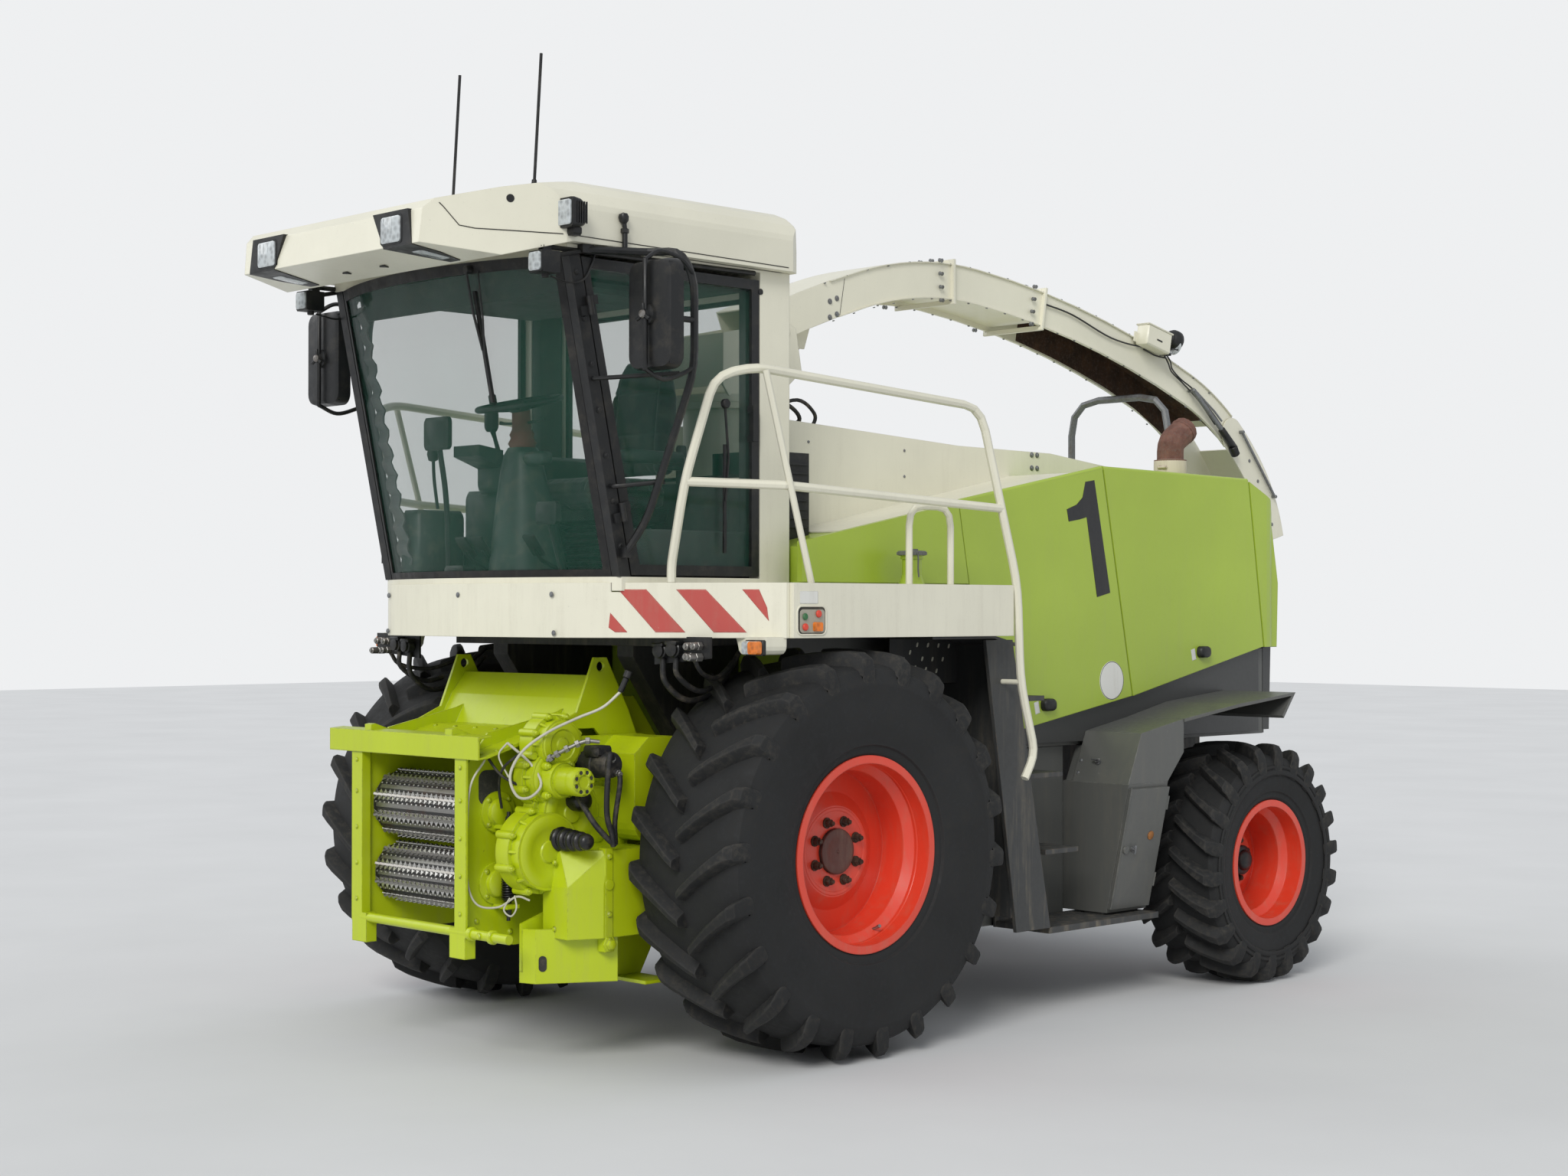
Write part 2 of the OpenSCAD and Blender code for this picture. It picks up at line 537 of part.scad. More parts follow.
module cab_roof() color([0.9, 0.89, 0.82]) {
    rise = roof_top - cab_top;
    shoulder = 170;
    difference() {
        intersection() {
            // Side view: visor, crown and rear edge
            along_x(-920, 920) polygon(concat(
                [[front_end, cab_top - 40], [front_end + 14, cab_top + 100], [front_end + 60, cab_top + 142],
                 [-1500, cab_top + 0.63 * rise], [-1000, cab_top + 0.91 * rise], [-650, roof_top - 6],
                 [-400, roof_top], [-60, roof_top - 10]],
                arc([-40, roof_top - 150], 140, 90, 5, 4),
                [[110, cab_top + 100], [110, cab_top + gap], [pillar_front[1] - 9, cab_top + gap],
                 [-1500, cab_top - 75]]));
            // Plan: the visor narrows to the front
            along_z(cab_top - 200, roof_top + 50) polygon([[-640, -1850], [640, -1850], [915, -1250],
                [915, 60], [860, 150], [-860, 150], [-915, 60], [-915, -1250]]);
            // Cross-section: round shoulders under a slightly crowned top
            along_y(-1900, 200) polygon(concat([[-920, cab_top - 200], [920, cab_top - 200]],
                arc([920 - shoulder, roof_top - shoulder - 45], shoulder, 0, 75, 4),
                [[300, roof_top], [-300, roof_top]],
                arc([shoulder - 920, roof_top - shoulder - 45], shoulder, 105, 180, 4)));
        }
        along_x(-870, 870) polygon([[-1180, cab_top - 1], [-1180, cab_top + 125], [-400, roof_top - 120],
                                    [40, roof_top - 140], [40, cab_top - 1]]);
        both_sides() translate(lamp_side) cube(lamp_size + [1, 1, 1] * 2 * gap, center = true);
        both_sides() translate(lamp_front) cube(visor_lamp + [1, 1, 1] * 2 * gap, center = true);
    }
    translate([antenna_base[0], antenna_base[1], roof_top - 110]) cylinder(d = 50, h = 100);
    translate([-antenna_base[0], antenna_base[1], roof_top - 110]) cylinder(d = 50, h = 100);
}

antenna_base = [300, -940];

screen_r = 1990;
screen_half = cab_x - 50 - 2;

module cab_glass() color([0.35, 0.5, 0.47, 0.4]) {
    // Bowed windscreen, leaning forward at the top
    screen_back = screen_r * (1 - cos(asin(screen_half / screen_r)));
    intersection() {
        translate([0, pillar_front[0] + 20, cab_floor_z]) rotate([lean, 0, 0])
            translate([0, screen_r - screen_back - 10, -200]) difference() {
                cylinder(r = screen_r, h = cab_h + 400, $fn = 180);
                translate([0, 0, -1]) cylinder(r = screen_r - glass_t, h = cab_h + 402, $fn = 180);
            }
        block([-screen_half, pillar_front[1] - 400, cab_floor_z + gap], [screen_half, -700, cab_top - 40 - gap]);
    }
    block([-cab_x + 150 + gap, cab_rear - 25, 2560 + gap],
          [cab_x - 150 - gap, cab_rear - 25 + glass_t, cab_top - 90 - gap]);
    // Fixed window on the right
    along_x(-cab_x + 20, -cab_x + 20 + glass_t) polygon([
        [pillar_front[0] + 61, cab_floor_z + gap], [-95 - gap, cab_floor_z + gap],
        [-95 - gap, cab_top - 40 - gap], [pillar_front[1] + 70, cab_top - 40 - gap]]);
}

door_gap = 6;

function door_outline(inset) = [
    [pillar_front[0] + 60 + door_gap + inset, cab_floor_z + 8 + inset],
    [-95 - door_gap - inset, cab_floor_z + 8 + inset],
    [-95 - door_gap - inset, cab_top - 48 - inset],
    [pillar_front[1] + 70 + door_gap + inset, cab_top - 48 - inset]];

module cab_door() color([0.12, 0.13, 0.13]) {
    difference() {
        along_x(cab_x - cab_wall, cab_x) polygon(door_outline(0));
        along_x(cab_x - cab_wall - 1, cab_x + 1) polygon(door_outline(45));
    }
    for (h = hinge_heights) on_hinge_line(h + knuckle_h) difference() {
        hinge_leaf(1);
        translate([0, 0, -1]) cylinder(d = hinge_pin_d + 2 * run, h = knuckle_h + 2);
    }
    // Pull handle
    for (z = [2700, 2830]) block([cab_x - 2, -170, z], [cab_x + 36, -140, z + 30]);
    block([cab_x + 24, -170, 2700], [cab_x + 36, -140, 2860]);
}

module door_glass() color([0.35, 0.5, 0.47, 0.4])
    along_x(cab_x - 23, cab_x - 23 + glass_t) polygon(door_outline(45 + gap));

module seat() color([0.15, 0.15, 0.16]) {
    block([-180, -420, cab_floor_z + gap], [180, -80, cab_floor_z + 330]);
    block([-260, -560, cab_floor_z + 330], [260, -60, cab_floor_z + 470]);
    along_x(-240, 240) polygon([[-110, cab_floor_z + 400], [-20, cab_floor_z + 400],
                                [30, cab_floor_z + 1050], [-50, cab_floor_z + 1060]]);
}

module steering_column() color([0.17, 0.2, 0.19]) {
    along_x(-70, 70) polygon([[-860, cab_floor_z + gap], [-640, cab_floor_z + gap],
                              [-700, cab_floor_z + 560], [-780, cab_floor_z + 560]]);
    translate([0, -730, cab_floor_z + 540]) rotate([-20, 0, 0]) {
        cylinder(d = 60, h = 160);
        translate([0, 0, 150]) rotate_extrude() translate([190, 0]) circle(d = 28, $fn = 16);
        translate([-190, -15, 144]) cube([380, 30, 12]);
    }
}

band_bottom = band_top - band_h;

// Plan outline of the apron, moved in by inset
function apron_half(inset) = [
    [0, -1125 + inset], [610 - inset * 0.3, -1075 + inset], [760 - inset * 0.5, -970 + inset],
    [walk_x - 25 - inset, -450 + inset * 0.5]];

// The other half of an outline that starts on the centre plane
function flip(p) = [for (i = [len(p) - 1 : -1 : 1]) [-p[i][0], p[i][1]]];

module apron() color([0.9, 0.89, 0.82]) {
    outer = rounded_path(apron_half(0), 60);
    inner = rounded_path(apron_half(35), 60);
    difference() {
        union() {
            along_z(band_bottom, band_top)
                polygon(concat(flip(outer), outer, [[walk_x - 25, -430], [-walk_x + 25, -430]]));
            // Corner brackets that carry the indicators
            both_sides() along_y(-560, -440) polygon(concat([[1200, band_bottom + 5]],
                arc([1250, band_bottom - 35], 35, 180, 270, 3), arc([1350, band_bottom - 35], 35, 270, 360, 3),
                [[1385, band_bottom + 5]]));
        }
        along_z(band_bottom - 1, band_top - 20)
            polygon(concat(flip(inner), inner, [[walk_x - 60, -429], [-walk_x + 60, -429]]));
        along_z(band_top - 40, band_top + 10) cab_plan(gap);
    }
}

module walkways() color([0.9, 0.89, 0.82]) both_sides() {
    block([walk_x - 35, -430 + gap, band_bottom], [walk_x, 1000, band_top]);
    block([cab_x + gap, -430 + gap, band_top - 35], [walk_x - 30, 0, band_top - 15]);
    block([panel_x - panel_t, -5, band_top - 35], [walk_x - 30, 1000, band_top - 15]);
    block([panel_x + 8, 960, band_bottom], [walk_x - 30, 1000, band_top - 15]);
}

rail_d = 40;

module handrails() color([0.93, 0.92, 0.88]) both_sides() {
    x = walk_x - 75;
    deck = band_top - 15 + gap;
    out = walk_x + 1;
    bar(rounded_path([[1000, -748, band_top + gap], [1000, -748, 2140], [1110, -770, 2500], [1230, -710, 2930],
                      [x - 40, -558, 2974], [x, 850, 2885], [out, 1024, band_top], [out, 1045, 1615],
                      [out, 1150, 1280], [out, 1075, 1165]], 110), rail_d);
    bar([[1110, -762, 2490], [x - 20, -400, 2480], [x + 42, 945, 2420]], rail_d, up = [0, 0, 1]);
    bar([[x - 5, -520, 2960], [x, -250, deck + 4.6]], 30);
    // Stay between the ladder's rail and the mudguard
    rod([guard_x + gap, 1045, 1615], [out, 1045, 1615], 24);
    // Hoop round the filler neck
    bar(rounded_path([[x - 60, 430, deck], [x - 60, 430, 2420], [x - 60, 710, 2420],
                      [x - 60, 710, deck]], 90), 32);
}

step_z = 430;

module steps() color([0.25, 0.26, 0.26]) both_sides() {
    block([962, 1405, step_z - 30], [1300, 2268, step_z]);
    // Treads, each [height, first y, last y]
    for (t = [[800, 1400, 1650], [1170, 1290, 1530], [1540, 1160, 1390]])
        block([t[0] > floor_top ? outer_x + gap : 962, t[1], t[0] - 24], [1280, t[2], t[0]]);
    along_x(950 + gap, 963) polygon([[1155, 1545], [1395, 1545], [1535, 1175], [1655, 805], [1765, step_z],
        [1765, step_z - 30], [1400, step_z - 30], [1395, 790], [1285, 1150], [1155, 1500]]);
}

module mirrors() color([0.08, 0.08, 0.08]) both_sides() {
    bar(rounded_path([[cab_x + 18 + gap, -900, 2190], [960, -850, 2330], [1190, -790, 2950],
                      [1190, -790, 3330], [1120, -800, 3457], [1000, -860, 3457],
                      [cab_x + 18 + gap, -1120, 3454]], 90), 34, up = [0, 1, 0]);
    block([1080, -1040, 2955], [1320, -985, 3370]);
    rod([1190, -990, 3160], [1190, -780, 3160], 26);
    block([cab_x + gap, -915, 2170], [cab_x + 36, -880, 2215]);
    block([cab_x + gap, -1150, 3438], [cab_x + 36, -1090, cab_top - 1]);
    // Lamp on an arm ahead of the pillar
    bar([[cab_x + 18, -1130, 3448], [cab_x + 10, -1300, 3410]], 20);
    block([825, -1375, 3335], [915, -1285, 3425]);
}

turret_y = 480;
turret_z = 2950;
tower_r = 200;
spigot_r = 180;
tread_y = 470;                // front end of the tread plates

module centre_beam() color([0.9, 0.89, 0.82]) difference() {
    union() {
        along_x(-450, 450) polygon([[430, 2420], [430, 2862], [1711, 2795], [2450, 2790], [3340, 2700],
                                    [3340, deck_z(3340) + gap], [split_top, deck_z(split_top) + gap],
                                    [460, deck_z(460) + gap], [460, 2420]]);
        // Tread plates on the hood's deck
        both_sides() along_x(449, panel_x - panel_t - 8) polygon([
            [tread_y, deck_z(tread_y) + gap], [split_top - 60, deck_z(split_top - 60) + gap],
            [split_top - 60, deck_z(split_top - 60) + 8], [tread_y, deck_z(tread_y) + 8]]);
        translate([0, turret_y, 2500]) cylinder(r = tower_r, h = turret_z - 2500);
        translate([0, turret_y, turret_z - 30]) cylinder(r = 260, h = 30);
    }
    along_x(-440, 440) polygon([[700, deck_z(700) - 5], [700, 2838], [1711, 2785], [2450, 2780],
                                [3330, 2692], [3330, deck_z(3330) - 5], [split_top, deck_z(split_top) - 5]]);
    translate([0, turret_y, 2440]) cylinder(r = spigot_r + run, h = 600);
}

module air_box() color([0.07, 0.07, 0.07]) {
    far = [130, 425];         // first and last y
    top = 2685;
    along_x(300, 650) polygon([[far[0], deck_z(far[0]) + gap], [far[1], deck_z(far[1]) + gap],
                               [far[1], top], [far[0], top]]);
    for (z = [deck_z(far[1]) + 30 : 42 : top - 30]) along_x(295, 664)
        polygon([[far[0] + 15, z], [far[1] - 15, z], [far[1] - 15, z + 6], [far[0] + 15, z + 22]]);
}

hood_front = 112;

// Height of the hood's deck at y
function deck_z(y) = y < split_top ? 2215 + (2660 - 2215) * y / split_top : 2660 - 5 * (y - split_top) / 1270;

function hood_profile(d) = [
    [hood_front + d, deck_z(hood_front) - d], [split_top, deck_z(split_top) - d],
    [3440, 2655 - d], [3700 - d, 2560 - d], [3790 - d, 2100], [3760 - d, floor_top + gap - d]];

outer_x = panel_x - panel_t - gap;              // outer face of the hood's side walls
rear_slope = [[3475, 2655], [3700, 2560]];      // fall of the deck at the rear

// Top deck, rear wall, front bulkhead and the fixed side pieces above the walkways
module hood() color([0.62, 0.75, 0.3]) {
    difference() {
        union() {
            along_x(-outer_x, outer_x) polygon(concat(hood_profile(0), [[hood_front, floor_top + gap]]));
            intersection() {
                along_x(-panel_x, panel_x) polygon(concat(rear_slope, [[3790, 2100], [3772, 1700],
                                                                      [3626, 1700]]));
                rear_plan(0);
            }
        }
        intersection() {
            along_x(-panel_x - 1, panel_x + 1) polygon(concat(hood_profile(30), [[hood_front + 30, 1200]]));
            union() {
                along_z(1100, 2700) polygon([[-outer_x + 22, 0], [outer_x - 22, 0], [outer_x - 22, 3500],
                                             [-outer_x + 22, 3500]]);
                rear_plan(50);
            }
        }
        both_sides() block([790, hood_front - 5, 1200], [1100, guard_y + 15 + gap, band_bottom]);
        translate([0, turret_y, 2000]) cylinder(r = tower_r + 20, h = 900);
        both_sides() block([951, 3600, 1200], [1100, 3830, 1745]);
    }
    both_sides() along_x(outer_x - 5, panel_x)
        polygon([[14, 2075], [14, 2258], [seam_y(2470), 2463], [seam_y(2075), 2075]]);
    // Louvres of the outlet grille
    for (z = [2120 : 52 : 2500]) let (y = 3700 + (2560 - z) * 90 / 460 - 5)
        along_x(-520, 520) polygon([[y - 10, z], [y + 18, z - 22], [y + 22, z - 18], [y, z + 12]]);
}

// Plan of the hood's rear end, moved in by inset, with round corners
module rear_plan(inset) {
    r = 150 - inset;
    c = [panel_x - 150, 3790 - 150];
    along_z(1100, 2800) polygon(concat([[c[0] + r, 3300]], arc(c, r, 0, 90, 6),
        arc([-c[0], c[1]], r, 90, 180, 6), [[-c[0] - r, 3300]]));
}

// y of the cross seam in the side panels at height z; it is square to the panels' hinge line
function seam_y(z) = 1065 + (2470 - z) * 0.19;

// The two side panels of one side, [first y at the top, at the bottom, last y at the top, at the bottom]
split_top = 2172;
split_bottom = 2419;
panel_low = 1366;

// Side panels that lift on hinges along their top edges
module panel_front(side) color([0.62, 0.75, 0.3]) mirror([side > 0 ? 0 : 1, 0, 0]) {
    start = seam_y(2470) + 6;
    along_x(panel_x - panel_t, panel_x) polygon([
        [start, 2465], [split_top, 2673], [split_bottom, 1506], [1553, panel_low],
        [1240, 1822], [seam_y(1822) + 6, 1822]]);
    rod([panel_x - panel_t / 2, start, 2465], [panel_x - panel_t / 2, split_top, 2673], panel_t);
}

module panel_rear(side) color([0.62, 0.75, 0.3]) mirror([side > 0 ? 0 : 1, 0, 0]) {
    along_x(panel_x - panel_t, panel_x) polygon([
        [split_top + 12, 2673], [3461, 2659], [3605, 1749], [split_bottom + 12, 1506]]);
    rod([panel_x - panel_t / 2, split_top + 12, 2673], [panel_x - panel_t / 2, 3461, 2659], panel_t);
}

box_low = 440;
box_foot_x = 1210;
box_x = 1350;
box_seam = 1075;

// Dark sheet metal: floor, inner wheel arches and the walls below the side panels
module skirts() color([0.3, 0.31, 0.31]) {
    block([-785, hood_front, frame_top + gap], [785, 1331, floor_top]);
    block([-930, 1330, frame_top + gap], [930, 3740, floor_top]);
    both_sides() {
        along_x(775, 790) polygon([[hood_front + 30 + gap, frame_top + gap], [hood_front + 30 + gap, 1835],
                                   [1331, 1835], [1331, frame_top + gap]]);
        block([775, 1330, frame_top + gap], [950, 1345, 1835]);
        along_x(930, 950) polygon([[1330, frame_top + gap], [3697, frame_top + gap], [3697, 1740],
                                   [3600, 1735], [2419, 1495], [1560, 1350], [1330, 1350]]);
    }
}

guard_x = 1310;               // outer face of a front mudguard
guard_y = 1130;               // front face of its rear plate

// Mudguards behind the front wheels, with a short roof over the tyre
module mudguards() color([0.3, 0.31, 0.31]) both_sides() {
    along_x(guard_x - 20, guard_x) polygon([[930, 1810], [1120, 1810], [1400, 430], [1150, 430]]);
    along_y(guard_y, guard_y + 15) polygon([[guard_x - 19, 1790], [guard_x - 19, 500], [1000, 500], [1040, 900],
                                 [951, 1264], [790 + gap, 1264], [790 + gap, 1790]]);
    along_x(790 + gap, guard_x) polygon([
        [560, band_bottom - 14], [990, band_bottom - 14], [guard_y + 15, 1780], [guard_y + 15, 1795],
        [994, band_bottom - gap], [560, band_bottom - gap]]);
}

// Storage boxes, open on their outer side, with a locker above
module storage_boxes() color([0.3, 0.31, 0.31]) both_sides() {
    inner = outer_x + gap;
    difference() {
        along_y(1960, 2280) polygon([[810, box_low], [box_foot_x, box_low], [box_x, box_seam + 12],
                                     [880, box_seam + 12],
                                     [880, box_seam]]);
        along_y(1985, 2255) polygon([[835, box_low + 25], [box_foot_x + 100, box_low + 25],
            [box_x + 100, box_seam - 20], [905, box_seam - 20]]);
    }
    along_x(inner, box_x - 4) polygon([[1962, box_seam + 11], [2070, 1337], [2420, 1398], [2420, 1230],
                                       [2283, box_seam + 11]]);
    along_x(940, box_x - 4) polygon([[1975, box_seam + 11], [2060, 1264], [2283, 1264], [2283, box_seam + 11]]);
}

// Fenders over the rear wheels: a flare, then a straight roof turned down at its end
module rear_fenders() color([0.3, 0.31, 0.31]) both_sides() intersection() {
    along_x(outer_x + gap, fender_x) polygon([[2420 + gap, 1399], [2750, 1467], [3270, 1515], [3160, 1382],
                                    [3150, 1395], [3235, 1497], [2755, 1450], [2420 + gap, 1382]]);
    along_z(1300, 1600) polygon([[900, 2400], [box_x - 4, 2400], [fender_x, 2754], [fender_x, 3300], [900, 3300]]);
}

fender_x = 1450;

// Filler neck on the left walkway, with its cap
module filler_neck() color([0.62, 0.75, 0.3]) translate([1150, 595, band_top - 15 + gap]) {
    cylinder(d1 = 130, d2 = 92, h = 60);
    translate([0, 0, 59]) cylinder(d = 90, h = 75);
    translate([0, 0, 133]) cylinder(d = 104, h = 32);
}

box_tilt = atan((box_x - box_foot_x) / (box_seam + 12 - box_low));

// Door over the open side of a storage box, on hinges at its rear edge
module box_door(side) color([0.3, 0.31, 0.31]) mirror([side > 0 ? 0 : 1, 0, 0])
    translate([box_foot_x + gap, 0, box_low]) rotate([0, box_tilt, 0]) {
        block([0, 1962, 20], [18, 2278, 640]);
        for (z = [120, 520]) rod([9, 2290, z], [9, 2290, z + 70], 18);
        for (z = [120, 520]) block([4, 2270, z], [14, 2285, z + 70]);
        rod([17, 2000, 330], [26, 2000, 330], 40);
    }

module exhaust() color([0.45, 0.33, 0.25]) {
    foot = deck_z(3320) + gap + 0.4;
    rod([600, 3320, foot], [600, 3320, foot + 130], 180);
    bar(rounded_path([[600, 3320, foot + 120], [600, 3320, foot + 225], [600, 3460, foot + 310]], 110), 150,
        sides = 14);
}

cheek_x = 200;                // inner faces of the turret's cheeks
cheek_t = 12;
pivot_d = 50;
cyl_base = [575, 3030];       // [y, z] of the lift cylinder's pivot on the turret
cyl_eye = [960, 3290];        // [y, z] of its rod's eye on the spout
cyl_pin_d = 30;

// Turning base of the spout: ring, two cheeks and a closed back
module spout_turret() color([0.9, 0.89, 0.82]) {
    translate([0, turret_y, turret_z]) difference() {
        union() {
            translate([0, 0, gap]) cylinder(r = 260, h = 40);
            translate([0, 0, -40]) cylinder(r = spigot_r, h = 60);
        }
        translate([0, 0, -41]) cylinder(r = spigot_r - 20, h = 100);
    }
    both_sides() difference() {
        along_x(cheek_x, cheek_x + cheek_t) polygon([[turret_y - 160, turret_z + 30],
            [turret_y + 150, turret_z + 30], [turret_y + 330, turret_z + 180],
            [spout_pivot[0] + 70, spout_pivot[1] + 20], [spout_pivot[0], spout_pivot[1] + 50],
            [turret_y - 200, turret_z + 330], [turret_y - 200, turret_z + 80]]);
        rod([cheek_x - 1, spout_pivot[0], spout_pivot[1]],
            [cheek_x + cheek_t + 1, spout_pivot[0], spout_pivot[1]], pivot_d + 2 * run);
    }
    block([-cheek_x - 1, turret_y - 200, turret_z + 80], [cheek_x + 1, turret_y - 190, turret_z + 330]);
    rod([-cheek_x - 1, cyl_base[0], cyl_base[1]], [cheek_x + 1, cyl_base[0], cyl_base[1]], cyl_pin_d);
}

spout_start = [640, 3354];
spout_rise = 23;
spout_pivot = [700, 3320];
// Bends of the spout's centre line, each [radius, turn]
spout_arcs = [[6760, 5.7], [2270, 22.3], [7380, 15.1], [1640, 18]];
flap_arcs = [[1640, 12], [950, 26]];
spout_line = chain(spout_start, spout_rise, spout_arcs);
spout_end = spout_line[len(spout_line) - 1];
flap_line = chain(spout_end[0], spout_end[1], flap_arcs);
flap_deep = spout_depth / 2 + 8;
flap_tip = flap_line[len(flap_line) - 1];
rear_end = flap_tip[0][0] - flap_deep * sin(flap_tip[1]);
mid_y = (front_end + rear_end) / 2;

module spout() color([0.9, 0.89, 0.82]) {
    half = spout_w / 2;
    deep = spout_depth / 2;
    hinge = spout_end[0];
    both_sides() {
        difference() {
            union() {
                along_x(half - spout_sheet, half) polygon(ribbon(spout_line, -deep, deep));
                rod([half - spout_sheet, hinge[0], hinge[1]], [half, hinge[0], hinge[1]], 2 * flap_pin_d);
            }
            rod([half - 20, hinge[0], hinge[1]], [half + 20, hinge[0], hinge[1]], flap_pin_d + 2 * run);
        }
        // Edge flanges along the side sheets
        for (e = [-deep, deep - 6]) along_x(half - 1, half + flange_w)
            polygon(ribbon(part_of(spout_line, 900, 4440), e, e + 6));
        for (y = collars) on_chain(nearest(spout_line, y))
            translate([half - spout_sheet, -collar_t / 2, -deep - collar_h])
                cube([spout_sheet + collar_h, collar_t, 2 * (deep + collar_h)]);
        rod([half - 1, spout_pivot[0], spout_pivot[1]], [cheek_x + cheek_t + 6, spout_pivot[0], spout_pivot[1]],
            pivot_d);
        along_x(half - spout_sheet, half) polygon([[650, 3300], [700, 3280], [770, 3300], [800, 3380],
                                                   [660, 3340]]);
    }
}

// Top and bottom sheets between the spout's sides, with the lugs for its cylinder
module spout_covers() color([0.9, 0.89, 0.82]) {
    inside = spout_w / 2 - spout_sheet;
    deep = spout_depth / 2;
    both_sides() along_x(26, 38)
        polygon([[900, 3400], [920, 3270], [1000, 3270], [1060, 3440], [900, 3440]]);
    rod([-30, cyl_eye[0], cyl_eye[1]], [30, cyl_eye[0], cyl_eye[1]], cyl_pin_d);
    along_x(-inside, inside) polygon(ribbon(spout_line, deep - spout_sheet, deep));
    along_x(-inside, inside) polygon(ribbon(part_of(spout_line, 0, open_from),
                                            -deep + 25, -deep + 25 + spout_sheet));
    for (y = collars) on_chain(nearest(spout_line, y)) for (z = [deep - 1, -deep - collar_h])
        translate([-inside, -collar_t / 2, z]) cube([2 * inside, collar_t, collar_h + 1]);
}

open_from = 2900;             // from here on the spout is open below
flange_w = 11;
collars = [1850, 2600];       // y of the joint flanges
collar_t = 16;
collar_h = 24;

// Points of a chain between two values of y
function part_of(line, y0, y1) = [for (q = line) if (q[0][0] >= y0 && q[0][0] <= y1) q];

// First point of a chain at or past y
function nearest(line, y) = [for (q = line) if (q[0][0] >= y) q][0];

// Stands its children on a point of a chain, square to it
module on_chain(q) translate([0, q[0][0], q[0][1]]) rotate([q[1], 0, 0]) children();

// Work lamp on its bracket beside the spout
module spout_lamp() color([0.08, 0.08, 0.08]) {
    q = nearest(spout_line, 3700);
    x = spout_w / 2 + flange_w + gap;
    translate([x, 0, 0]) on_chain(q) {
        translate([0, -60, -30]) cube([10, 120, 120]);
        translate([9, -30, 60]) cube([60, 60, 20]);
        translate([40, 0, 79]) cylinder(d = 24, h = 40);
        translate([40, -35, 150]) rotate([90, 0, 0]) translate([0, 0, -80]) cylinder(d = 100, h = 90);
    }
}

flap_pin_d = 24;
flap_gap = 6;

// Deflector at the end of the spout, hinged on two pins
module spout_flap() color([0.9, 0.89, 0.82]) {
    half = spout_w / 2 + flap_gap + spout_sheet;
    deep = flap_deep;
    hinge = spout_end[0];
    both_sides() {
        along_x(half - spout_sheet, half) polygon(concat(ribbon(flap_line, -deep, deep)));
        rod([half - spout_sheet, hinge[0], hinge[1]], [half, hinge[0], hinge[1]], 2 * deep);
        rod([spout_w / 2 - spout_sheet - 4, hinge[0], hinge[1]], [half, hinge[0], hinge[1]], flap_pin_d);
    }
    along_x(-half + 1, half - 1) polygon(ribbon([for (i = [3 : len(flap_line) - 1]) flap_line[i]],
                                                deep - spout_sheet, deep));
}

cyl_dir = (cyl_eye - cyl_base) / norm(cyl_eye - cyl_base);
cyl_len = norm(cyl_eye - cyl_base);
barrel_share = 0.6;

// Point [0, y, z] at distance t from p along dir
function along(p, dir, t) = [0, p[0] + dir[0] * t, p[1] + dir[1] * t];

// Barrel of a hydraulic cylinder with its eye at base; the bore stays open for the rod
module barrel(x, base, dir, len, d, rod_d, pin_d) translate([x, 0, 0]) difference() {
    union() {
        rod(along(base, dir, 0), along(base, dir, len), d);
        translate([-16, 0, 0]) rod([0, base[0], base[1]], [32, base[0], base[1]], pin_d + 36);
    }
    rod([-20, base[0], base[1]], [20, base[0], base[1]], pin_d + 2 * run);
    for (s = [-1, 1]) translate([s * 41, 0, 0])
        rod([-25, base[0], base[1]], [25, base[0], base[1]], pin_d + 50);
    rod(along(base, dir, len / 2), along(base, dir, len + 1), rod_d + 2 * run);
}

// Piston rod with an eye that has slack on its pin
module piston(x, base, dir, from, len, rod_d, pin_d) translate([x, 0, 0]) difference() {
    union() {
        rod(along(base, dir, from), along(base, dir, len), rod_d);
        rod([-16, 0, 0] + along(base, dir, len), [16, 0, 0] + along(base, dir, len),
            pin_d + 2 * eye_slack + 24);
    }
    rod([-30, 0, 0] + along(base, dir, len), [30, 0, 0] + along(base, dir, len), pin_d + 2 * eye_slack);
}

module spout_cylinder() color([0.3, 0.3, 0.3])
    barrel(0, cyl_base, cyl_dir, cyl_len * barrel_share, 64, 36, cyl_pin_d);

module spout_rod() color([0.75, 0.75, 0.75])
    piston(0, cyl_base, cyl_dir, cyl_len * 0.32, cyl_len, 36, cyl_pin_d);

lift_dir = (lift_eye - lift_base) / norm(lift_eye - lift_base);
lift_len = norm(lift_eye - lift_base);

module lift_cylinders() color([0.16, 0.16, 0.16]) for (s = [-1, 1])
    barrel(s * lift_x, lift_base, lift_dir, lift_len * barrel_share, 80, 45, lift_pin_d);

module lift_rods() color([0.75, 0.75, 0.75]) for (s = [-1, 1])
    piston(s * lift_x, lift_base, lift_dir, lift_len * 0.42, lift_len, 45, lift_pin_d);

// Height of the hood's rear slope
function slope_z(y) = rear_slope[0][1] + (y - rear_slope[0][0]) * (rear_slope[1][1] - rear_slope[0][1])
                      / (rear_slope[1][0] - rear_slope[0][0]);

module spout_rest() color([0.6, 0.6, 0.6]) {
    feet = slope_z(rest_y) + 10;
    bar(rounded_path([[-rest_x, rest_y, feet], [-rest_x, rest_y, rest_z], [rest_x, rest_y, rest_z],
                      [rest_x, rest_y, feet]], 200), 42, up = [0, 1, 0]);
    // Foot plates on the slope
    for (x = [-rest_x, rest_x]) along_x(x - 45, x + 45)
        polygon([for (p = [[-45, gap], [45, gap], [45, 20], [-45, 20]])
                     [rest_y + p[0], slope_z(rest_y + p[0]) + p[1]]]);
}

rest_x = 352;                 // legs of the hoop from the centre plane
rest_y = 3635;
rest_z = 3186;

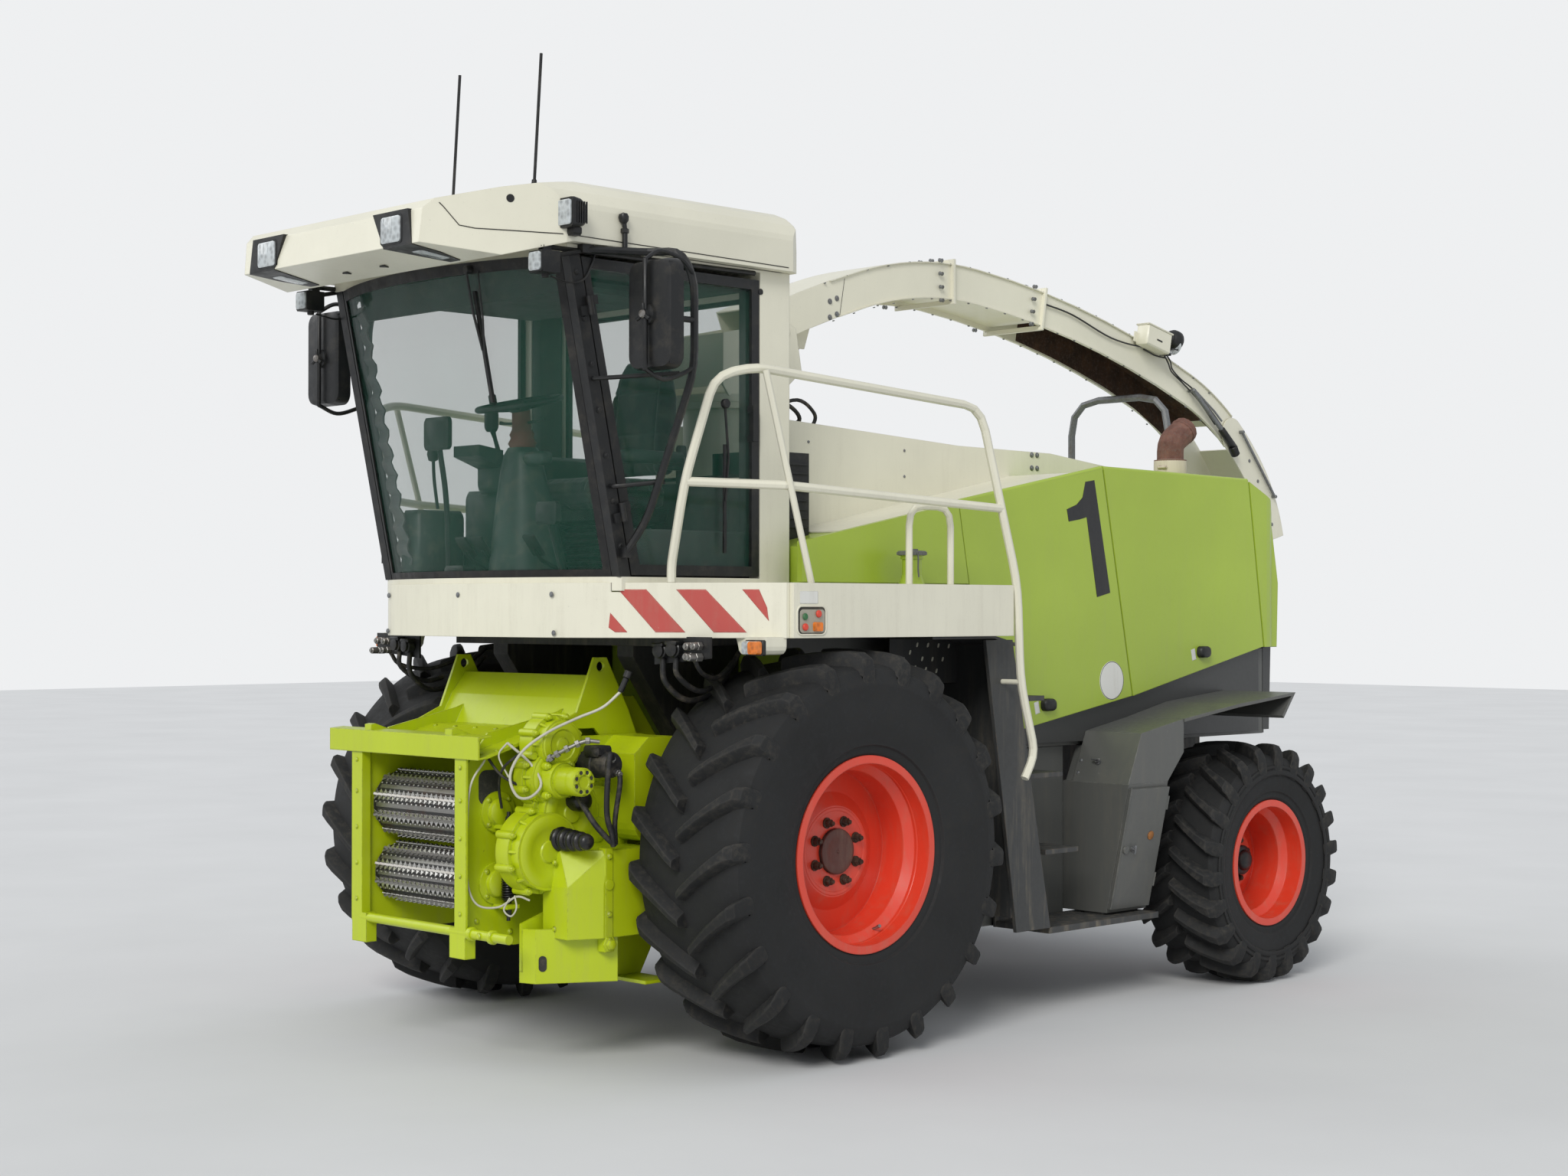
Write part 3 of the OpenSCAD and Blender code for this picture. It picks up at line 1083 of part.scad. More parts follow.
module lamps() color([0.1, 0.1, 0.1]) both_sides() {
    translate(lamp_side) cube(lamp_size, center = true);
    translate(lamp_front) cube(visor_lamp, center = true);
}

module antennas() color([0.06, 0.06, 0.06]) for (s = [-1, 1])
    bar([[s * antenna_base[0], antenna_base[1], roof_top - 10 + gap],
         [s * antenna_base[0], antenna_base[1] + 40, roof_top + 610]], 14);

seat_on_origin() chassis_frame();
seat_on_origin() front_axle();
seat_on_origin() rear_axle();
seat_on_origin() knuckle(1);  // knuckle_left
seat_on_origin() knuckle(-1);  // knuckle_right
seat_on_origin() engine_block();
seat_on_origin() front_rim(1);  // rim_front_left
seat_on_origin() front_rim(-1);  // rim_front_right
seat_on_origin() rear_rim(1);  // rim_rear_left
seat_on_origin() rear_rim(-1);  // rim_rear_right
seat_on_origin() front_tyre(1);  // tyre_front_left
seat_on_origin() front_tyre(-1);  // tyre_front_right
seat_on_origin() rear_tyre(1);  // tyre_rear_left
seat_on_origin() rear_tyre(-1);  // tyre_rear_right
seat_on_origin() intake_housing();
seat_on_origin() intake_drive();
seat_on_origin() intake_springs();
seat_on_origin() upper_roller();
seat_on_origin() lower_roller();
seat_on_origin() front_pillars();
seat_on_origin() cab_frame();
seat_on_origin() cab_roof();
seat_on_origin() cab_glass();
seat_on_origin() cab_door();
seat_on_origin() door_glass();
seat_on_origin() seat();
seat_on_origin() steering_column();
seat_on_origin() apron();
seat_on_origin() walkways();
seat_on_origin() handrails();
seat_on_origin() steps();
seat_on_origin() mirrors();
seat_on_origin() centre_beam();
seat_on_origin() air_box();
seat_on_origin() hood();
seat_on_origin() panel_front(1);  // panel_front_left
seat_on_origin() panel_rear(1);  // panel_rear_left
seat_on_origin() panel_front(-1);  // panel_front_right
seat_on_origin() panel_rear(-1);  // panel_rear_right
seat_on_origin() skirts();
seat_on_origin() mudguards();
seat_on_origin() storage_boxes();
seat_on_origin() rear_fenders();
seat_on_origin() filler_neck();
seat_on_origin() box_door(1);  // box_door_left
seat_on_origin() box_door(-1);  // box_door_right
seat_on_origin() exhaust();
seat_on_origin() spout_turret();
seat_on_origin() spout();
seat_on_origin() spout_covers();
seat_on_origin() spout_flap();
seat_on_origin() spout_cylinder();
seat_on_origin() spout_rod();
seat_on_origin() spout_rest();
seat_on_origin() spout_lamp();
seat_on_origin() lamps();
seat_on_origin() antennas();
seat_on_origin() lift_cylinders();
seat_on_origin() lift_rods();
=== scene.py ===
"""Looks for the forage harvester. Metres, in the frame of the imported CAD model."""
import json
from math import atan2, cos, exp, hypot, pi, radians, sin, sqrt

import bmesh
import bpy
from mathutils import Matrix, Vector

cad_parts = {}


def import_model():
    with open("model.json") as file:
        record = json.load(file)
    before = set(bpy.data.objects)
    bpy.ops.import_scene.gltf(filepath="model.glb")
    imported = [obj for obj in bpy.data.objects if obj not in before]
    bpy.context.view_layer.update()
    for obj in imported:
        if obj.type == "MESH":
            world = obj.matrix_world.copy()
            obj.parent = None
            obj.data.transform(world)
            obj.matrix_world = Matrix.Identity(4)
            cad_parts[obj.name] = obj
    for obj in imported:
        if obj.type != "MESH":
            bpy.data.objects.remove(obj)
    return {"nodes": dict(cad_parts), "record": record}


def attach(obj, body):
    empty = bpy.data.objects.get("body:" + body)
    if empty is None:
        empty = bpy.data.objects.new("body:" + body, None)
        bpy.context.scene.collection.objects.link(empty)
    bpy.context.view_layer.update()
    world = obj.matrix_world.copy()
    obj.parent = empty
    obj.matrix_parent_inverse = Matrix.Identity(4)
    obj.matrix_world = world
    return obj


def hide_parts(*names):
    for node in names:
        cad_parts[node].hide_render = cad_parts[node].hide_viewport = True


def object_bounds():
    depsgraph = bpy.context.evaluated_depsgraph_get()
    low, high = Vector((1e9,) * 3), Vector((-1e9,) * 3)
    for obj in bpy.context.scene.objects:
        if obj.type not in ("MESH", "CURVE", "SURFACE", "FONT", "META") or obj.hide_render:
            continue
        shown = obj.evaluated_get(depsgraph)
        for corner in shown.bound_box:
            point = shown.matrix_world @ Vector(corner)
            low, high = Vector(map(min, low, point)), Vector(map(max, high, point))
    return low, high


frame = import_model()
cad_bounds = [list(c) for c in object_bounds()]
nodes = frame["nodes"]
# The foremost solid, the visor, as far before the front axle as the part's source has it
FOREMOST_Y = -1.81
MID_Y = FOREMOST_Y - cad_bounds[0][1]
SIDES = (("left", 1), ("right", -1))


def P(x, y, z):
    """Point given from the ground under the middle of the front axle."""
    return Vector((x, y - MID_Y, z))


# Camera and light: the camera's lens in mm, its place, and its yaw, pitch and roll in degrees
LENS = 53.89
CAMERA_PLACE = (8.466, -7.363, 1.950)
CAMERA_TURN = (45.711, 0.532, 0.047)


def make_camera():
    cam = bpy.data.cameras.new("camera")
    cam.sensor_width = 36.0
    cam.lens = LENS
    cam.clip_end = 200
    ob = bpy.data.objects.new("camera", cam)
    bpy.context.scene.collection.objects.link(ob)
    yaw, pitch, roll = (radians(v) for v in CAMERA_TURN)
    look = Vector((-sin(yaw) * cos(pitch), cos(yaw) * cos(pitch), sin(pitch)))
    ob.location = P(*CAMERA_PLACE)
    ob.rotation_mode = "QUATERNION"
    ob.rotation_quaternion = look.to_track_quat("-Z", "Y") @ Matrix.Rotation(roll, 3, "Z").to_quaternion()
    bpy.context.scene.camera = ob


def lamp(name, kind, place, aim, power, size=1.0, colour=(1, 1, 1)):
    data = bpy.data.lights.new(name, kind)
    data.energy = power
    data.color = colour
    if kind == "SUN":
        data.angle = size
    else:
        data.shape = "SQUARE"
        data.size = size
    ob = bpy.data.objects.new(name, data)
    ob.location = place
    ob.rotation_mode = "QUATERNION"
    ob.rotation_quaternion = (Vector(aim) - Vector(place)).to_track_quat("-Z", "Y")
    bpy.context.scene.collection.objects.link(ob)


def make_world():
    world = bpy.data.worlds.new("world")
    bpy.context.scene.world = world
    world.use_nodes = True
    nt = world.node_tree
    nt.nodes.clear()
    out = nt.nodes.new("ShaderNodeOutputWorld")
    mix = nt.nodes.new("ShaderNodeMixShader")
    path = nt.nodes.new("ShaderNodeLightPath")
    dim = nt.nodes.new("ShaderNodeBackground")
    pale = nt.nodes.new("ShaderNodeBackground")
    dim.inputs[0].default_value = (0.93, 0.96, 1.0, 1)
    dim.inputs[1].default_value = 0.62
    pale.inputs[0].default_value = (0.86, 0.87, 0.88, 1)
    pale.inputs[1].default_value = 1.0
    either = nt.nodes.new("ShaderNodeMath")
    either.operation = "MAXIMUM"
    nt.links.new(path.outputs["Is Camera Ray"], either.inputs[0])
    nt.links.new(path.outputs["Is Transmission Ray"], either.inputs[1])
    nt.links.new(either.outputs[0], mix.inputs[0])
    nt.links.new(dim.outputs[0], mix.inputs[1])
    nt.links.new(pale.outputs[0], mix.inputs[2])
    nt.links.new(mix.outputs[0], out.inputs[0])


make_camera()
make_world()
lamp("key", "SUN", P(6, -9, 9), P(0, 1, 1), 1.7, radians(24), (1, 0.985, 0.95))
lamp("fill", "SUN", P(-8, -3, 6), P(0, 1, 1), 0.45, radians(40))
bpy.context.scene.view_settings.view_transform = "Standard"


# Materials
def lin(c):
    """Linear colour from an 8-bit one."""
    return tuple(((v / 255) / 12.92 if v <= 10 else (((v / 255) + 0.055) / 1.055) ** 2.4) for v in c)


def shade(c, k):
    return tuple(min(1, v * k) for v in c)


class Mat:
    """Small builder for a procedural surface on object coordinates."""

    def __init__(self, name, rough=0.5, metal=0.0, **fixed):
        self.m = bpy.data.materials.new(name)
        self.m.use_nodes = True
        self.nt = self.m.node_tree
        self.bsdf = self.nt.nodes["Principled BSDF"]
        self.bsdf.inputs["Roughness"].default_value = rough
        self.bsdf.inputs["Metallic"].default_value = metal
        for k, v in fixed.items():
            self.bsdf.inputs[k.replace("_", " ")].default_value = v
        self.co = self.node("ShaderNodeTexCoord").outputs["Object"]

    def node(self, kind, **props):
        n = self.nt.nodes.new(kind)
        for k, v in props.items():
            setattr(n, k, v)
        return n

    def link(self, a, b):
        self.nt.links.new(a, b)

    def mapped(self, scale):
        mp = self.node("ShaderNodeMapping")
        mp.inputs["Scale"].default_value = scale
        self.link(self.co, mp.inputs["Vector"])
        return mp.outputs[0]

    def noise(self, scale, detail=4, rough=0.55, stretch=None, distortion=0.0):
        n = self.node("ShaderNodeTexNoise")
        n.inputs["Scale"].default_value = scale
        n.inputs["Detail"].default_value = detail
        n.inputs["Roughness"].default_value = rough
        n.inputs["Distortion"].default_value = distortion
        self.link(self.mapped(stretch) if stretch else self.co, n.inputs["Vector"])
        return n.outputs["Fac"]

    def voronoi(self, scale, stretch=None, feature="F1"):
        n = self.node("ShaderNodeTexVoronoi", feature=feature)
        n.inputs["Scale"].default_value = scale
        self.link(self.mapped(stretch) if stretch else self.co, n.inputs["Vector"])
        return n.outputs["Distance"]

    def ramp(self, fac, stops):
        r = self.node("ShaderNodeValToRGB")
        el = r.color_ramp.elements
        while len(el) < len(stops):
            el.new(0.5)
        for e, (p, c) in zip(el, stops):
            e.position = p
            e.color = (*c, 1) if len(c) == 3 else c
        self.link(fac, r.inputs[0])
        return r.outputs[0]

    def span(self, fac, lo, hi, to_lo=0.0, to_hi=1.0):
        r = self.node("ShaderNodeMapRange")
        for i, v in enumerate((lo, hi, to_lo, to_hi)):
            r.inputs[i + 1].default_value = v
        self.link(fac, r.inputs[0])
        return r.outputs[0]

    def math(self, op, a, b):
        n = self.node("ShaderNodeMath", operation=op)
        for i, v in enumerate((a, b)):
            if isinstance(v, (int, float)):
                n.inputs[i].default_value = v
            else:
                self.link(v, n.inputs[i])
        return n.outputs[0]

    def times(self, a, b):
        return self.math("MULTIPLY", a, b)

    def mix(self, fac, a, b):
        n = self.node("ShaderNodeMix", data_type="RGBA")
        for i, v in ((0, fac), (6, a), (7, b)):
            if isinstance(v, (int, float)):
                n.inputs[i].default_value = v
            elif isinstance(v, tuple):
                n.inputs[i].default_value = (*v, 1)
            else:
                self.link(v, n.inputs[i])
        return n.outputs[2]

    def axes(self):
        """The point's x, y and z, in metres from the frame's origin."""
        s = self.node("ShaderNodeSeparateXYZ")
        self.link(self.co, s.inputs[0])
        return s.outputs

    def edges(self, radius=0.006, samples=4):
        """1 near a sharp edge, from bevelled against plain normals."""
        bev = self.node("ShaderNodeBevel", samples=samples)
        bev.inputs["Radius"].default_value = radius
        geo = self.node("ShaderNodeNewGeometry")
        dot = self.node("ShaderNodeVectorMath", operation="DOT_PRODUCT")
        self.link(bev.outputs[0], dot.inputs[0])
        self.link(geo.outputs["Normal"], dot.inputs[1])
        return self.span(dot.outputs["Value"], 0.995, 0.9)

    def colour(self, c):
        self.link(c, self.bsdf.inputs["Base Color"])
        return self

    def rough(self, r):
        self.link(r, self.bsdf.inputs["Roughness"])
        return self

    def bump(self, h, strength=0.2, distance=0.002, round_edges=0.0):
        b = self.node("ShaderNodeBump")
        if round_edges:
            bev = self.node("ShaderNodeBevel", samples=4)
            bev.inputs["Radius"].default_value = round_edges
            self.link(bev.outputs[0], b.inputs["Normal"])
        b.inputs["Strength"].default_value = strength
        b.inputs["Distance"].default_value = distance
        self.link(h, b.inputs["Height"])
        self.link(b.outputs[0], self.bsdf.inputs["Normal"])
        return self


DUST = lin((150, 138, 116))
# Height of the hood's lower edge at its rear wall
REAR_WALL_FOOT = 1.747


def paint(name, c, rough=0.38, dust=0.25, chip_and_highlight_amount=0.0, chip_and_highlight_c=(60, 48, 40), low=0.9, coat=0.25, grime=0.5,
          round_edges=0.006, below=None):
    """Machine paint: cloudy tone, run-down dust, grime low down, chipped edges; a pale chip colour paints
    highlights along the edges as well.
    """
    m = Mat(name, rough, Coat_Weight=coat, Coat_Roughness=0.25)
    base = lin(c)
    tone = m.noise(1.3, 5)
    col = m.mix(m.span(tone, 0.35, 0.7), shade(base, 0.93), shade(base, 1.04))
    streak = m.noise(6, 6, 0.65, stretch=(3.5, 3.5, 0.35))
    fine = m.noise(38, 5, 0.7)
    dirt = m.times(m.span(streak, 0.48, 0.75), m.span(fine, 0.35, 0.65, 0.4, 1.0))
    z = m.axes()[2]
    down = m.span(z, low + 1.1, low - 0.5, 0.15, 1.0)
    dirt = m.times(m.times(dirt, down), dust)
    col = m.mix(dirt, col, DUST)
    specks = m.span(m.noise(85, 3, 0.8), 0.64, 0.72)
    col = m.mix(m.times(specks, grime * 0.35), col, shade(base, 0.3))
    # Worn edges and spots; with a pale chip colour, as on the dark sheet, this is painted highlight along the
    # edges as well as wear
    if chip_and_highlight_amount:
        worn = m.times(m.edges(0.008), m.span(m.noise(24, 6, 0.7), 0.45, 0.6))
        spots = m.span(m.noise(17, 7, 0.75), 0.66, 0.70)
        worn = m.math("MAXIMUM", worn, m.times(spots, 0.8))
        col = m.mix(m.times(worn, chip_and_highlight_amount), col, lin(chip_and_highlight_c))
    if below:
        # Below these lines, each through (y, z) at a slope, the sheet has another colour
        y = m.axes()[1]
        line = m.math("MAXIMUM", *(m.math("ADD", m.times(y, k), z0 + k * (MID_Y - y0))
                                   for y0, z0, k in ((1.553, 1.363, 0.1617), (2.431, 1.503, 0.2070))))
        line = m.math("MINIMUM", line, REAR_WALL_FOOT)
        col = m.mix(m.math("GREATER_THAN", m.math("SUBTRACT", line, z), 0.0), col, lin(below))
    m.colour(col)
    m.rough(m.span(fine, 0.3, 0.7, rough - 0.06, rough + 0.12))
    m.bump(m.noise(210, 2), 0.05, 0.0006, round_edges)
    return m.m


def tyre_mat(name, dust):
    m = Mat(name, 0.8)
    a = m.noise(2.4, 5, 0.55)
    b = m.noise(30, 6, 0.7)
    col = m.mix(m.span(a, 0.35, 0.7), lin((20, 21, 22)), lin((28, 29, 30)))
    worn = m.times(m.span(b, 0.46, 0.74), m.span(a, 0.3, 0.65, 0.25, 0.9))
    col = m.mix(m.times(worn, dust), col, lin((104, 98, 88)))
    col = m.mix(m.times(m.edges(0.012), dust * 0.5), col, lin((92, 89, 84)))
    m.colour(col)
    m.rough(m.span(b, 0.3, 0.7, 0.68, 0.9))
    m.bump(m.noise(120, 5, 0.7), 0.15, 0.0012, 0.005)
    return m.m


def steel_mat(name, c=(160, 158, 154), rough=0.38, rust=0.25, stretch=(1, 18, 18)):
    m = Mat(name, rough, 0.85)
    scr = m.noise(30, 8, 0.75, stretch=stretch)
    col = m.mix(m.span(scr, 0.35, 0.65), shade(lin(c), 0.62), lin(c))
    r = m.times(m.span(m.noise(9, 7, 0.7), 0.52, 0.68), rust)
    col = m.mix(r, col, lin((96, 62, 42)))
    m.colour(col)
    m.rough(m.span(scr, 0.3, 0.7, rough - 0.1, rough + 0.2))
    m.bump(scr, 0.15, 0.0008)
    return m.m


def plastic_mat(name, c, rough=0.5, grain=420, dust=0.3):
    m = Mat(name, rough)
    base = lin(c)
    col = m.mix(m.span(m.noise(2.2, 4), 0.35, 0.7), shade(base, 0.8), shade(base, 1.15))
    d = m.times(m.span(m.noise(14, 6, 0.7), 0.5, 0.75), dust)
    col = m.mix(d, col, DUST)
    m.colour(col)
    m.rough(m.span(m.noise(18, 4), 0.3, 0.7, rough - 0.08, rough + 0.14))
    m.bump(m.noise(grain, 2), 0.12, 0.0006)
    return m.m


def glass_mat(name, c, alpha):
    m = Mat(name, 0.03, Alpha=alpha, IOR=1.5, Coat_Weight=0.3, Coat_Roughness=0.02)
    smear = m.noise(4, 6, 0.6, stretch=(1, 1, 0.4))
    col = m.mix(m.span(smear, 0.35, 0.7), shade(lin(c), 0.85), shade(lin(c), 1.15))
    m.colour(col)
    m.rough(m.span(smear, 0.3, 0.75, 0.015, 0.06))
    m.m.surface_render_method = "BLENDED"
    return m.m


def fabric_mat(name, c, scale=140):
    m = Mat(name, 0.9, Sheen_Weight=0.35, Sheen_Roughness=0.5)
    w1 = m.node("ShaderNodeTexWave", wave_type="BANDS", bands_direction="X")
    w2 = m.node("ShaderNodeTexWave", wave_type="BANDS", bands_direction="Z")
    for w in (w1, w2):
        w.inputs["Scale"].default_value = scale
        w.inputs["Distortion"].default_value = 0.6
        m.link(m.co, w.inputs["Vector"])
    weave = m.times(w1.outputs["Fac"], w2.outputs["Fac"])
    col = m.mix(weave, shade(lin(c), 0.8), shade(lin(c), 1.15))
    col = m.mix(m.times(m.span(m.noise(9, 5), 0.45, 0.75), 0.25), col, DUST)
    m.colour(col)
    m.bump(weave, 0.35, 0.0008)
    return m.m


def rust_mat(name, dark=(70, 44, 30), light=(150, 92, 52), metal=0.3):
    m = Mat(name, 0.8, metal)
    n = m.noise(11, 8, 0.72)
    n2 = m.noise(60, 5, 0.7)
    middle = tuple((a + b) // 2 for a, b in zip(dark, light))
    col = m.ramp(n, [(0.3, lin(dark)), (0.5, lin(middle)), (0.72, lin(light))])
    col = m.mix(m.times(m.span(n2, 0.5, 0.7), 0.5), col, lin((112, 104, 98)))
    m.colour(col)
    m.bump(n2, 0.4, 0.0015)
    return m.m


def mirror_mat():
    m = Mat("mirror_face", 0.04, 1.0)
    smear = m.noise(7, 5, 0.6)
    m.colour(m.mix(m.span(smear, 0.35, 0.7), lin((196, 200, 202)), lin((222, 226, 228))))
    m.rough(m.span(smear, 0.3, 0.75, 0.02, 0.12))
    return m.m


def lens_mat(name, c):
    m = Mat(name, 0.12, Coat_Weight=0.6, Coat_Roughness=0.05)
    cells = m.voronoi(46)
    col = m.mix(m.span(cells, 0.1, 0.7), shade(lin(c), 0.55), lin(c))
    m.colour(m.mix(m.times(m.span(m.noise(16, 5), 0.5, 0.75), 0.2), col, DUST))
    m.bump(cells, 0.5, 0.002)
    return m.m


MAT = {
    "cream": paint("cream_paint_worn", (228, 225, 206), 0.36, 0.2, low=2.2),
    "green": paint("green_panel_faded", (165, 189, 59), 0.34, 0.18, low=1.7, coat=0.35),
    "green_hood": paint("green_hood_faded", (165, 189, 59), 0.34, 0.18, low=1.7, coat=0.35, below=(50, 51, 50)),
    "lime": paint("lime_paint_worked", (183, 200, 14), 0.36, 0.2, 0.5, low=1.2),
    "red": paint("orange_red_rim", (222, 66, 42), 0.36, 0.30, low=1.0, coat=0.4, round_edges=0.008),
    # Its pale chip colour is painted highlight along the dark sheet's edges, besides worn spots
    "dark": paint("dark_sheet_satin", (90, 91, 88), 0.36, 0.14, 0.30, (150, 150, 146), low=1.2, coat=0.15),
    "guard": paint("dark_sheet_dusty", (60, 61, 61), 0.5, 0.75, 0.30, (126, 104, 78), low=0.75, coat=0.05),
    "chassis": paint("chassis_black_dusty", (42, 42, 41), 0.6, 0.45, 0.2, (98, 74, 56), low=1.4, coat=0.0),
    "tyre": tyre_mat("tyre_rubber", 0.10),
    "lug": tyre_mat("tyre_lugs_worn", 0.38),
    "black": plastic_mat("black_plastic_matt", (24, 25, 26), 0.42, dust=0.08),
    "numeral": paint("numeral_black", (20, 20, 22), 0.4, 0.08, low=2.0),
    "soot": rust_mat("sooty_bore_and_shade", (14, 12, 11), (32, 26, 24)),
    "flaking": paint("flaking_cream_collar", (206, 196, 176), 0.6, 0.6, 1.0, (116, 74, 58), low=3.4),
    "cap_grey": plastic_mat("cap_grey", (112, 114, 112), 0.5, 200, 0.3),
    "brass": steel_mat("brown_lock_face", (196, 136, 84), 0.45, 0.2, (3, 3, 3)),
    "hub": paint("hub_brown", (84, 50, 42), 0.5, 0.35, low=1.6, coat=0.1),
    "steel": steel_mat("scratched_bare_steel"),
    "teeth": steel_mat("polished_teeth", (214, 212, 208), 0.24, 0.08, (6, 6, 6)),
    "engine": rust_mat("cast_engine_oily", (40, 40, 39), (78, 76, 72), 0.2),
    "glass": glass_mat("tinted_glass_green", (44, 98, 80), 0.17),
    "fabric": fabric_mat("seat_cloth_dark", (44, 46, 50)),
    "console": plastic_mat("console_green_grey", (52, 66, 62), 0.42),
    "rust": rust_mat("heat_rusted_pipe", (92, 60, 52), (140, 100, 86), 0.1),
    "zinc": steel_mat("dull_zinc", (150, 152, 154), 0.5, 0.35, (2, 2, 2)),
    "rust_dark": rust_mat("brown_rusted_nuts", (44, 32, 27), (96, 66, 46)),
    "rubber": plastic_mat("rubber_black", (21, 21, 22), 0.6, 260, 0.08),
    "trim": plastic_mat("cab_trim_grey", (74, 76, 76), 0.8, 300, 0.15),
    "blind": fabric_mat("blind_cloth_grey", (46, 52, 54), 120),
    "red_brown": plastic_mat("boot_red_brown", (112, 52, 44), 0.6),
    "dark_steel": steel_mat("dark_worn_steel", (78, 78, 78), 0.5, 0.4),
    "mirror": mirror_mat(),
    "screen": plastic_mat("monitor_glass", (16, 20, 24), 0.14, 40, 0.1),
    "lens": lens_mat("clear_lens", (196, 202, 204)),
    "amber": lens_mat("amber_lens", (232, 124, 18)),
    "stripe": paint("stripe_red_faded", (186, 74, 66), 0.4, 0.3, 0.35, (214, 206, 190), low=2.2),
    "white": paint("white_film_aged", (226, 226, 220), 0.45, 0.3, low=2.0),
    "seam": plastic_mat("seam_shadow", (52, 52, 48), 0.8, 260, 0.3),
    "recess": paint("cream_recess_shaded", (168, 164, 148), 0.45, 0.4, low=2.2),
    "button_green": plastic_mat("button_green", (38, 110, 62), 0.4),
    "hose": plastic_mat("hose_black", (30, 30, 31), 0.6, 300, 0.35),
    "cable": plastic_mat("cable_pale", (196, 194, 178), 0.5, 260, 0.3),
    "boot": plastic_mat("bellows_black", (20, 20, 21), 0.32, 200, 0.15),
    "yellow": paint("yellow_label", (214, 196, 60), 0.5, 0.3),
}
# Finish of the solids in each slot, and of those that differ from it
SLOT_MAT = {
    "cream_paint": "cream", "green_panel": "green", "lime_paint": "lime", "red_rim": "red",
    "dark_sheet": "dark", "chassis_paint": "chassis", "tyre_rubber": "tyre", "black_plastic": "black",
    "bare_steel": "steel", "cast_engine": "engine", "tinted_glass": "glass", "seat_fabric": "fabric",
    "console_plastic": "console", "rusty_pipe": "rust", "galvanised": "zinc",
}
SLOT_OF = {s["node"]: s["material_slot"] for s in frame["record"]["subparts"]}
# The steps take the dusty dark sheet as painted shade, so that their treads don't show lit
OWN_MAT = {"hood": "green_hood", "mudguards": "guard", "steps": "guard", "spout_rest": "zinc"}
# Slot of the pieces made of each finish, where a piece names no other
FINISHES = {
    "bare_steel": "rust_dark steel dark_steel teeth brass",
    "black_plastic": "black rubber seam button_green numeral hose boot cap_grey",
    "console_plastic": "trim console red_brown",
    "cream_paint": "white cream recess cable",
    "dark_sheet": "dark guard",
    "galvanised": "zinc",
    "lime_paint": "lime yellow",
    "red_rim": "red stripe",
    "rusty_pipe": "hub rust soot flaking",
    "seat_fabric": "blind fabric",
    "tinted_glass": "screen mirror lens amber",
    "tyre_rubber": "tyre lug",
}
FINISH_SLOT = {finish: slot for slot, row in FINISHES.items() for finish in row.split()}
for name, ob in nodes.items():
    mat = MAT[OWN_MAT.get(name, SLOT_MAT[SLOT_OF[name]])]
    if ob.material_slots:
        for sl in ob.material_slots:
            sl.material = mat
    else:
        ob.data.materials.append(mat)


# Pieces built in mesh code
X, Y, Z = Vector((1, 0, 0)), Vector((0, 1, 0)), Vector((0, 0, 1))


def unit(v):
    return Vector(v).normalized()


def across(d):
    """Two directions square to d and to each other."""
    d = unit(d)
    u = unit(d.cross(Z if abs(d.z) < 0.9 else Y))
    return u, d.cross(u)


def both(*pieces):
    """Runs a loop's body for the left side, and once more mirrored to the right."""
    for s in (1, -1):
        for p in pieces:
            p.s = s
        yield s


def placed(place, degrees, axis="X"):
    return Matrix.Translation(place) @ Matrix.Rotation(radians(degrees), 4, axis)


def circle(n, r, start=0.0):
    """n even places on a circle about the origin, the first at start degrees."""
    return [(r * cos(a), r * sin(a)) for a in (radians(start + 360 * k / n) for k in range(n))]


